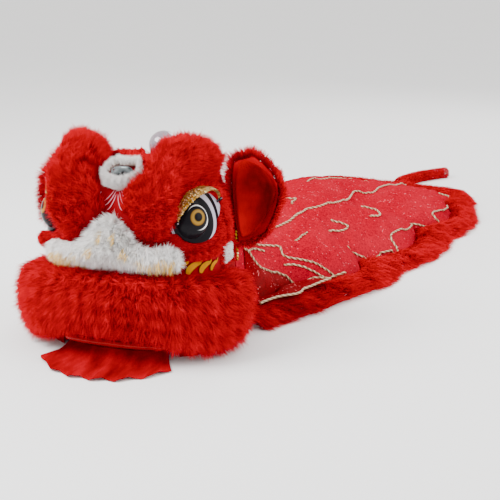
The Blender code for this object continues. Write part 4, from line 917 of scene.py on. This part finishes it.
def build_face_fur():
    """Short fur on the bare skin round the eyes and over the temples."""
    count = FACE_STRANDS
    turns = RNG.uniform(22.0, 118.0, count) * RNG.choice([-1.0, 1.0], count)
    rises = RNG.uniform(6.0, 58.0, count)
    roots, outward, keep = [], [], []
    for turn, rise in zip(turns, rises):
        ray = head_ray(turn, rise)
        place = head_point(turn, rise)
        roots.append(place)
        outward.append(ray)
        keep.append(not on_eye(abs(turn), rise, 1.06) and not (abs(turn) < 80.0 and rise < 20.0))
    keep = np.array(keep)
    roots, outward = np.array(roots)[keep], np.array(outward)[keep]
    count = len(roots)
    drift = drifts(roots, 20.0)
    directions = outward * 0.6 + np.array([0.0, 0.45, -0.25]) + drift * 0.5
    directions = unit(directions + RNG.normal(size=(count, 3)) * 0.12)
    tones = RNG.uniform(0.5, 0.95, count)
    bends = drift * 0.3 - np.array([0.0, 0.0, 0.2])
    lengths = FACE_FUR_LENGTH * RNG.uniform(0.6, 1.1, count)
    widths = FACE_FUR_WIDTH * RNG.uniform(0.7, 1.2, count)
    mesh = make_strands("face_fur", roots, directions, bends, lengths, widths, tones)
    thing = new_object("face_fur", mesh, MATERIALS["red"], smooth=False)


def on_eye(turn, rise, margin):
    """Whether a point of the left side's skin lies under the eye's plate."""
    outward = head_ray(EYE_TURN, EYE_RISE)
    along = Vector((math.cos(math.radians(EYE_TURN)), math.sin(math.radians(EYE_TURN)), 0.0))
    upward = outward.cross(along)
    ray = head_ray(turn, rise)
    if ray.dot(outward) < 0.3:
        return False
    scale = head_reach(outward) / ray.dot(outward)
    x, y = ray.dot(along) * scale, ray.dot(upward) * scale
    share = (math.atan2(y, x) / math.tau) % 1.0
    return math.hypot(x, y) < table_value(EYE_OUTLINE, share, 1) * margin


def smooth_path(points, per_span=8):
    """Catmull-Rom curve through a list of points of any dimension."""
    rows = [np.array(point, dtype=float) for point in points]
    rows = [2.0 * rows[0] - rows[1]] + rows + [2.0 * rows[-1] - rows[-2]]
    path = []
    for index in range(1, len(rows) - 2):
        before, first, second, after = rows[index - 1:index + 3]
        for step in range(per_span):
            t = step / per_span
            path.append(0.5 * (2.0 * first + (second - before) * t
                               + (2.0 * before - 5.0 * first + 4.0 * second - after) * t ** 2
                               + (3.0 * first - before - 3.0 * second + after) * t ** 3))
    path.append(rows[-2])
    return path


def add_tube(shape, path, radius, sides=8, twist=0.0, taper=False):
    """Add a round bar along a path to a bmesh, with UVs round and along it."""
    layer = shape.loops.layers.uv.verify()
    rings = []
    travel = 0.0
    for index, place in enumerate(path):
        before = path[max(0, index - 1)]
        after = path[min(len(path) - 1, index + 1)]
        heading = (after - before).normalized()
        side = heading.cross(Vector((0.0, 0.0, 1.0)))
        side = side.normalized() if side.length > 1e-6 else Vector((1.0, 0.0, 0.0))
        over = side.cross(heading)
        travel += (place - before).length
        share = index / (len(path) - 1)
        size = radius * (max(0.12, math.sin(math.pi * share) ** 0.5) if taper else 1.0)
        ring = []
        for step in range(sides):
            angle = math.tau * step / sides
            ripple = 1.0 + 0.20 * math.cos(2.0 * angle + travel * twist) if twist else 1.0
            spot = place + (side * math.cos(angle) + over * math.sin(angle)) * size * ripple
            ring.append((shape.verts.new(spot), angle, travel))
        rings.append(ring)
    for low, high in zip(rings, rings[1:]):
        for step in range(sides):
            after = (step + 1) % sides
            corners = (low[step], low[after], high[after], high[step])
            face = shape.faces.new([corner[0] for corner in corners])
            for loop, (_, angle, length) in zip(face.loops, corners):
                around = 1.0 if after == 0 and angle == 0.0 else angle / math.tau
                loop[layer].uv = (2.0 * around, length * twist / math.tau)
    shape.faces.new([corner[0] for corner in rings[0]][::-1])
    shape.faces.new([corner[0] for corner in rings[-1]])


# Swirls under the forehead's fur, and flames under the eye: turns and rises over the head, in degrees
SWIRLS = (
    ((3.0, 62.5), (6.5, 59.0), (11.5, 55.6), (16.0, 55.0), (18.5, 57.2), (18.0, 59.5)),
    ((2.0, 61.0), (4.5, 57.5), (8.5, 54.2), (12.0, 53.0), (14.5, 54.0)),
    ((1.0, 59.5), (2.5, 56.0), (5.5, 52.5), (8.0, 51.2)),
)
SWIRL_RADIUS = 0.0013
# each flame's middle line from its foot to its tip, and its half width
FLAME_STROKES = (
    (((45.5, 8.0), (46.5, 11.0), (49.5, 13.2), (52.6, 14.0), (54.4, 16.2)), 1.8),
    (((52.5, 7.0), (54.0, 10.0), (57.5, 12.0), (60.8, 12.6), (62.6, 15.0)), 2.0),
    (((60.8, 6.4), (62.2, 9.2), (65.5, 10.8), (68.4, 11.3), (70.0, 13.6)), 1.8),
    (((69.0, 6.2), (70.0, 8.4), (72.4, 9.9), (74.8, 10.4), (76.2, 12.4)), 1.4),
)
FLAME_RISE = 3.2


def build_swirls():
    """Fine pale curls painted up the red bridge between the brows."""
    shape = bmesh.new()
    for side in (1.0, -1.0):
        for marks in SWIRLS:
            path = [head_point(side * turn, rise, 0.0022) for turn, rise in smooth_path(marks, 8)]
            add_tube(shape, path, SWIRL_RADIUS, 6, taper=True)
    thing = from_bmesh("bridge_swirls", shape, MATERIALS["swirl"])


def stroke_outline(marks, half):
    """Left and right edges of a flame that swells near its foot and runs out to a point."""
    path = smooth_path(marks, 7)
    left, right = [], []
    for index, place in enumerate(path):
        ahead = path[min(len(path) - 1, index + 1)] - path[max(0, index - 1)]
        across = np.array([-ahead[1], ahead[0]]) / (np.linalg.norm(ahead) + 1e-9)
        share = index / (len(path) - 1)
        size = half * max(0.05, math.sin(math.pi * (0.03 + 0.97 * share) ** 0.55))
        left.append(place + across * size)
        right.append(place - across * size)
    return left, right


def build_flames():
    """A row of yellow flames with dark outlines below each eye."""
    for label, grow, lift, key in (("outlines", 0.42, 0.0034, "ink"), ("fills", 0.0, 0.0048, "flame")):
        shape = bmesh.new()
        for side in (1.0, -1.0):
            for marks, half in FLAME_STROKES:
                left, right = stroke_outline(marks, half + grow)
                rows = []
                for edge in (left, right):
                    places = [head_point(side * x, y + FLAME_RISE, lift) for x, y in edge]
                    rows.append([shape.verts.new(place) for place in places])
                for index in range(len(left) - 1):
                    corners = (rows[0][index], rows[0][index + 1], rows[1][index + 1], rows[1][index])
                    shape.faces.new(corners if side > 0.0 else corners[::-1])
        bmesh.ops.solidify(shape, geom=shape.faces[:], thickness=0.0010)
        thing = from_bmesh("flame_" + label, shape, MATERIALS[key], smooth=False)


# Gold tufts in the white fur: turn and rise over the head and reach in degrees, and how many strands
NOSE_TUFTS = ((6.0, 36.5, 1.6, 80), (11.5, 26.5, 2.2, 90), (24.0, 19.5, 2.6, 70), (32.0, 17.5, 3.0, 170),
              (38.5, 16.5, 3.0, 200))


def build_nose_tufts():
    """Gold tips in the nose's white fur, at the bridge and along its lower edge."""
    faces, normals = triangles(frame["nodes"]["nose_fur"])
    offsets = faces.mean(axis=1) - np.array(HEAD_CENTRE)
    turns = np.degrees(np.arctan2(offsets[:, 0], -offsets[:, 1]))
    rises = np.degrees(np.arctan2(offsets[:, 2], np.linalg.norm(offsets[:, :2], axis=1)))
    roots = []
    for side in (1.0, -1.0):
        for turn, rise, reach, count in NOSE_TUFTS:
            near = np.hypot((turns - side * turn) * 0.8, rises - rise) < reach * 1.2
            if near.any():
                spots, _ = sample(faces[near], normals[near], count)
                roots.append(spots)
    roots = np.concatenate(roots)
    radial = unit(roots - np.array(HEAD_CENTRE))
    directions = unit(radial * 0.9 + np.array([0.0, -0.1, -0.75]) + RNG.normal(size=roots.shape) * 0.16)
    count = len(roots)
    tones = RNG.uniform(0.5, 1.0, count)
    bends = np.tile(np.array([0.0, 0.0, -0.5]), (count, 1))
    lengths = TUFT_LENGTH * RNG.uniform(0.7, 1.1, count)
    widths = TUFT_WIDTH * RNG.uniform(0.7, 1.2, count)
    mesh = make_strands("nose_tufts", roots, directions, bends, lengths, widths, tones)
    thing = new_object("nose_tufts", mesh, MATERIALS["gold_fur"], smooth=False)


def build_beads():
    """Gold beads down the rear edge of each cheek."""
    shape = bmesh.new()
    for side in (1.0, -1.0):
        for number in range(16):
            turn = 105.0 + 1.6 * (number % 2)
            place = head_point(side * turn, 6.0 + 1.05 * number, 0.016)
            matrix = Matrix.Translation(place)
            bmesh.ops.create_icosphere(shape, subdivisions=1, radius=0.0048, matrix=matrix)
    thing = from_bmesh("side_beads", shape, MATERIALS["core"])


def build_ball_and_mirror():
    low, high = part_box("clear_ball")
    shape = bmesh.new()
    centre = (Vector(low) + Vector(high)) / 2.0
    for radius, flip in ((BALL_RADIUS, False), (BALL_RADIUS - 0.002, True)):
        made = bmesh.ops.create_icosphere(shape, subdivisions=4, radius=radius,
                                          matrix=Matrix.Translation(centre))
        if flip:
            inside = {face for vert in made["verts"] for face in vert.link_faces}
            bmesh.ops.reverse_faces(shape, faces=list(inside))
    thing = from_bmesh("glass_ball", shape, MATERIALS["glass"])
    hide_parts("clear_ball")
    round_node("gilt_core", "ball_core", "core")
    finish_node("forehead_mirror", "mirror")


def finish_node(node, key):
    """Give a CAD piece whose shape is right its material."""
    thing = frame["nodes"][node]
    for index in range(len(thing.material_slots)):
        thing.material_slots[index].material = MATERIALS[key]


def round_node(name, node, key, body=ROOT):
    """A piece with the CAD piece's form and rounded facets, standing for it."""
    shape = bmesh.new()
    shape.from_mesh(frame["nodes"][node].data)
    bmesh.ops.remove_doubles(shape, verts=shape.verts[:], dist=1e-5)
    thing = from_bmesh(name, shape, MATERIALS[key], body)
    modifier = thing.modifiers.new("round", "SUBSURF")
    modifier.levels = 1
    modifier.render_levels = 1
    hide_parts(node)


def build_ears_and_lids():
    for hand in ("left", "right"):
        round_node("lid_shell_" + hand, "eyelid_" + hand, "gilt", "lid_" + hand)
        add_sequins("lid_sequins_" + hand, "eyelid_" + hand, LID_SEQUINS, LID_SEQUIN_RADIUS,
                    MATERIALS["gilt"], "lid_" + hand)
        shape = bmesh.new()
        shape.from_mesh(frame["nodes"]["ear_" + hand].data)
        bmesh.ops.remove_doubles(shape, verts=shape.verts[:], dist=1e-5)
        bmesh.ops.subdivide_edges(shape, edges=shape.edges[:], cuts=2, use_grid_fill=True, smooth=0.4)
        thing = from_bmesh("ear_cup_" + hand, shape, MATERIALS["satin"], "ear_flap_" + hand)
        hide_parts("ear_" + hand)
        dress_fur("ear_fur_" + hand, "red", strands_on_ear(hand, EAR_STRANDS), MATERIALS, "ear_flap_" + hand)
        finish_node("ear_post_" + hand, "paint")


# Jaw and beard


def build_jaw():
    finish_node("jaw_board", "paint")
    finish_node("jaw_axle", "steel")
    round_node("glossy_rim", "jaw_rim", "gloss", "jaw")
    finish_node("tongue", "beard")
    columns, rows = 20 * BEARD_PLEATS, 24
    shape = bmesh.new()
    start_z = JAW_Z - JAW_RIM_RADIUS - 0.0018
    grid = []
    for i in range(columns + 1):
        a = i / columns
        across = 2.0 * a - 1.0
        line = []
        for j in range(rows + 1):
            b = j / rows
            half = JAW_HALF_WIDTH * 0.97 + (BEARD_HALF_WIDTH - JAW_HALF_WIDTH * 0.97) * b
            rim_y = JAW_FRONT - JAW_RIM_RADIUS + JAW_CORNER_DROP * abs(across) ** 3.0
            reach = BEARD_REACH * (1.0 - 0.42 * abs(across) ** 2.2)
            drop = start_z * max(0.0, 1.0 - b * 2.2) ** 1.5
            wave = 0.5 - 0.5 * math.cos(math.tau * BEARD_PLEATS * a + 0.5 * math.sin(5.0 * a))
            fine = 0.5 + 0.5 * math.sin(math.tau * BEARD_PLEATS * 3.0 * a + 2.0 * b)
            pleat = (BEARD_PLEAT * 1.5 * wave + 0.0022 * fine) * smooth_step(b * 1.8)
            ruffle = 1.0 + 0.035 * math.sin(math.tau * BEARD_PLEATS * a) * b
            spot = Vector((half * across, rim_y - reach * b * ruffle, drop + pleat + 0.0016))
            line.append(shape.verts.new(ORIGIN + spot))
        grid.append(line)
    for i in range(columns):
        for j in range(rows):
            shape.faces.new((grid[i][j], grid[i][j + 1], grid[i + 1][j + 1], grid[i + 1][j]))
    bmesh.ops.recalc_face_normals(shape, faces=shape.faces[:])
    thing = from_bmesh("pleated_beard", shape, MATERIALS["beard"], "jaw")
    thicken(thing, 0.0018)
    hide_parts("beard")


def thicken(thing, thickness):
    modifier = thing.modifiers.new("thickness", "SOLIDIFY")
    modifier.thickness = thickness
    modifier.offset = 0.0


# Body cloth


def lobe(share):
    phase = share * LOBE_COUNT + 0.35
    return abs(math.sin(math.pi * phase)) ** 0.8


def fold_height(across, share):
    slant = math.sin(math.tau * (2.1 * share * LOBE_COUNT / 4.0 + 0.9 * across))
    cross = math.sin(math.tau * (3.3 * share - 1.3 * across) + 1.1)
    ends = smooth_step(share / 0.18) * smooth_step((1.0 - share) / 0.12)
    return FOLD_DEPTH * (slant + 0.8 * cross + 1.0) * ends * (1.0 - across ** 4.0)


def rumple(spot, across, share):
    """Small creases of the laid cloth, fading out at the hem and the neck."""
    flow = Vector((spot.x * 1.0, spot.y * 0.55, 0.0))
    broad = noise.noise(flow * 6.0)
    crease = 1.0 - abs(noise.noise(flow * 11.0 + Vector((3.1, 1.7, 0.0)))) * 2.2
    fine = 1.0 - abs(noise.noise(flow * 24.0 + Vector((7.7, 4.1, 0.0)))) * 2.0
    fade = smooth_step((share - 0.02) / 0.08) * smooth_step((1.0 - abs(across)) / 0.06)
    return (0.010 * broad + 0.009 * max(0.0, crease) + 0.004 * max(0.0, fine)) * fade


def cloth_place(across, share, lift=0.0):
    """A point of the body cloth, as in the part, with its creases."""
    size = min(1.0, abs(across))
    side = math.copysign(1.0, across)
    turn = 180.0 - side * (180.0 - NECK_SIDE_TURN) * size ** 0.8
    start = floor_rise(turn, CLOTH_SEAM)
    rise = start + (NECK_TOP_RISE - start) * (1.0 - size ** 3.0)
    seam = head_point(turn, rise, CLOTH_SEAM)
    if size == 1.0:
        seam.z = 0.0
    place, heading = spine_place(share * CLOTH_LENGTH)
    out = Vector((math.cos(heading), -math.sin(heading), 0.0))
    half = CLOTH_HALF_WIDTH * table_value(BODY_SECTIONS, share, 1)
    fade = smooth_step((share - 0.10) / 0.15)
    half *= 1.0 - LOBE_DEPTH * fade * (1.0 - lobe(share))
    ridge = RIDGE_HEIGHT * table_value(BODY_SECTIONS, share, 2)
    power = table_value(BODY_SECTIONS, share, 3)
    angle = math.pi / 2.0 * (1.0 - size)
    x = side * half * max(0.0, math.cos(angle)) ** (2.0 / power)
    z = ridge * math.sin(angle) ** (2.0 / power) + fold_height(across, share) if size < 1.0 else 0.0
    section = place + out * x + Vector((0.0, 0.0, z))
    carried = seam + place - SPINE_START
    spot = carried.lerp(section, smooth_step(share / NECK_BLEND))
    outward = (Vector((0.0, 0.0, 1.0)) + out * side * size * 0.6).normalized()
    spot += outward * (lift + CLOTH_THICK / 2.0 + rumple(spot, across, share))
    if abs(across) > 1.0:
        over = abs(across) - 1.0
        rise_up = HEM_FUR_HEIGHT * (0.55 + 0.45 * smooth_step(over / 0.08)) * smooth_step((0.36 - over) / 0.2)
        spot = spot + out * side * over * CLOTH_HALF_WIDTH
        spot.z = rise_up + 0.014 + lift
    return spot


def build_body_sheet():
    columns, rows = 104, 170
    shape = bmesh.new()
    grid = []
    for i in range(columns + 1):
        across = 2.0 * i / columns - 1.0
        grid.append([shape.verts.new(cloth_place(across, j / rows)) for j in range(rows + 1)])
    for i in range(columns):
        for j in range(rows):
            shape.faces.new((grid[i][j], grid[i + 1][j], grid[i + 1][j + 1], grid[i][j + 1]))
    thing = from_bmesh("body_sheet", shape, MATERIALS["cloth"])
    thicken(thing, 0.0018)
    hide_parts("body_cloth_left", "body_cloth_right")
    return thing


def build_cords():
    """Gold cords sewn along the cloth's patterns and round the flaps."""
    paths = []
    for side in (1.0, -1.0):
        for marks in CORDS.values():
            path = []
            for across, share in smooth_path(marks, 14):
                spot = cloth_place(side * across, share, CORD_RADIUS * 0.8)
                if across > 0.985:
                    spot.z = max(spot.z, 0.030)
                path.append(spot)
            paths.append(path)
        edge = smooth_path(FLAP_UPPER, 14) + smooth_path(FLAP_LOWER, 14)[::-1][1:]
        path = [cloth_place(side * across, share, CORD_RADIUS + 0.004) for across, share in edge]
        paths.append(path)
    shape = bmesh.new()
    for path in paths:
        add_tube(shape, [Vector(spot) for spot in path], CORD_RADIUS, 8, twist=math.tau / 0.022)
    thing = from_bmesh("gold_cords", shape, MATERIALS["cord"])
    return thing


def build_flaps():
    """Leaf-shaped flaps over the fur behind the head."""
    for hand, side in (("left", 1.0), ("right", -1.0)):
        shape = bmesh.new()
        upper, lower = smooth_path(FLAP_UPPER, 14), smooth_path(FLAP_LOWER, 14)
        steps = 16
        grid = []
        for top, bottom in zip(upper, lower):
            line = []
            for step in range(steps + 1):
                across, share = top + (bottom - top) * step / steps
                line.append(shape.verts.new(cloth_place(side * across, share, 0.006)))
            grid.append(line)
        for first, second in zip(grid[:-1], grid[1:]):
            for step in range(steps):
                shape.faces.new((first[step], first[step + 1], second[step + 1], second[step]))
        bmesh.ops.remove_doubles(shape, verts=shape.verts[:], dist=1e-5)
        thing = from_bmesh("leaf_flap_" + hand, shape, MATERIALS["flap"])
        thicken(thing, 0.002)


def build_tail():
    """Plush tail: a short dense pile over its padded core."""
    faces, normals = triangles(frame["nodes"]["tail"])
    count = TAIL_STRANDS
    roots, facing = sample(faces, normals, count)
    drift = drifts(roots, 20.0)
    directions = unit(facing * 0.9 + np.array([0.20, 0.45, 0.0]) + drift * 0.4)
    roots = roots - directions * 0.004
    tones = RNG.uniform(0.45, 1.0, count)
    lengths = TAIL_PILE_LENGTH * RNG.uniform(0.6, 1.1, count)
    widths = TAIL_PILE_WIDTH * RNG.uniform(0.8, 1.2, count)
    mesh = make_strands("tail", roots, directions, drift * 0.3, lengths, widths, tones)
    lift_to_floor(mesh)
    thing = dress_fur("tail", "red", mesh, MATERIALS)


# Camera, light and floor


def build_stage():
    """Pale floor and soft light."""
    nodes = Nodes("floor_paper", 0.85)
    nodes.colour(nodes.ramp(nodes.noise(1.5), ((0.0, (0.93, 0.93, 0.93)), (1.0, (0.96, 0.96, 0.96)))))
    shape = bmesh.new()
    bmesh.ops.create_grid(shape, x_segments=1, y_segments=1, size=30.0)
    mesh = bpy.data.meshes.new("floor")
    shape.to_mesh(mesh)
    shape.free()
    mesh.materials.append(nodes.material)
    floor = bpy.data.objects.new("floor", mesh)
    floor.location.z = -0.0005
    bpy.context.scene.collection.objects.link(floor)
    world = bpy.data.worlds.new("soft_sky")
    world.use_nodes = True
    world.node_tree.nodes["Background"].inputs["Color"].default_value = (1.0, 0.985, 0.97, 1.0)
    world.node_tree.nodes["Background"].inputs["Strength"].default_value = 1.45
    bpy.context.scene.world = world
    lights = (
        ("key_light", (-2.4, -2.6, 3.4), 2.2, 300.0),
        ("fill_light", (3.2, -1.2, 2.4), 3.0, 90.0),
        ("rear_light", (0.8, 3.6, 3.0), 2.5, 90.0),
    )
    for name, place, size, power in lights:
        lamp = bpy.data.lights.new(name, "AREA")
        lamp.size = size
        lamp.energy = power
        thing = bpy.data.objects.new(name, lamp)
        thing.location = place
        thing.rotation_euler = (Vector((0.0, -0.4, 0.2)) - Vector(place)).to_track_quat("-Z", "Y").to_euler()
        bpy.context.scene.collection.objects.link(thing)


CAMERA_TURN = 24.0
CAMERA_RISE = 21.0
CAMERA_DISTANCE = 3.3
PHOTO_SCALE = 224.0
PHOTO_ORIGIN = (93.5, 157.0)
PHOTO_MIDDLE = (180.0, 96.0)
FRAME_PIXELS = 500.0
FRAME_ZOOM = 1.36


def build_camera():
    """Looks from the photo's own viewpoint, turned so that the object is in the middle of the frame."""
    turn, rise = math.radians(CAMERA_TURN), math.radians(CAMERA_RISE)
    back = Vector((math.sin(turn) * math.cos(rise), -math.cos(turn) * math.cos(rise), math.sin(rise)))
    side = Vector((math.cos(turn), math.sin(turn), 0.0))
    aim = side * (PHOTO_MIDDLE[0] - PHOTO_ORIGIN[0]) + back.cross(side) * (PHOTO_ORIGIN[1] - PHOTO_MIDDLE[1])
    aim -= back * PHOTO_SCALE * CAMERA_DISTANCE
    lens = bpy.data.cameras.new("camera")
    lens.sensor_width = 36.0
    lens.clip_end = 100.0
    lens.lens = aim.length * FRAME_ZOOM / FRAME_PIXELS * lens.sensor_width
    camera = bpy.data.objects.new("camera", lens)
    camera.location = ORIGIN + back * CAMERA_DISTANCE
    camera.rotation_mode = "QUATERNION"
    camera.rotation_quaternion = aim.to_track_quat("-Z", "Y")
    bpy.context.scene.collection.objects.link(camera)
    bpy.context.scene.camera = camera


MATERIALS = make_materials()
build_camera()
build_stage()
head_skin()
build_furs(MATERIALS)
build_face_fur()
build_eyes()
build_ears_and_lids()
build_swirls()
build_flames()
build_nose_tufts()
build_beads()
build_ball_and_mirror()
build_jaw()
SPINE_START = spine_place(0.0)[0]
sheet = build_body_sheet()
cords = build_cords()
build_flaps()
build_tail()
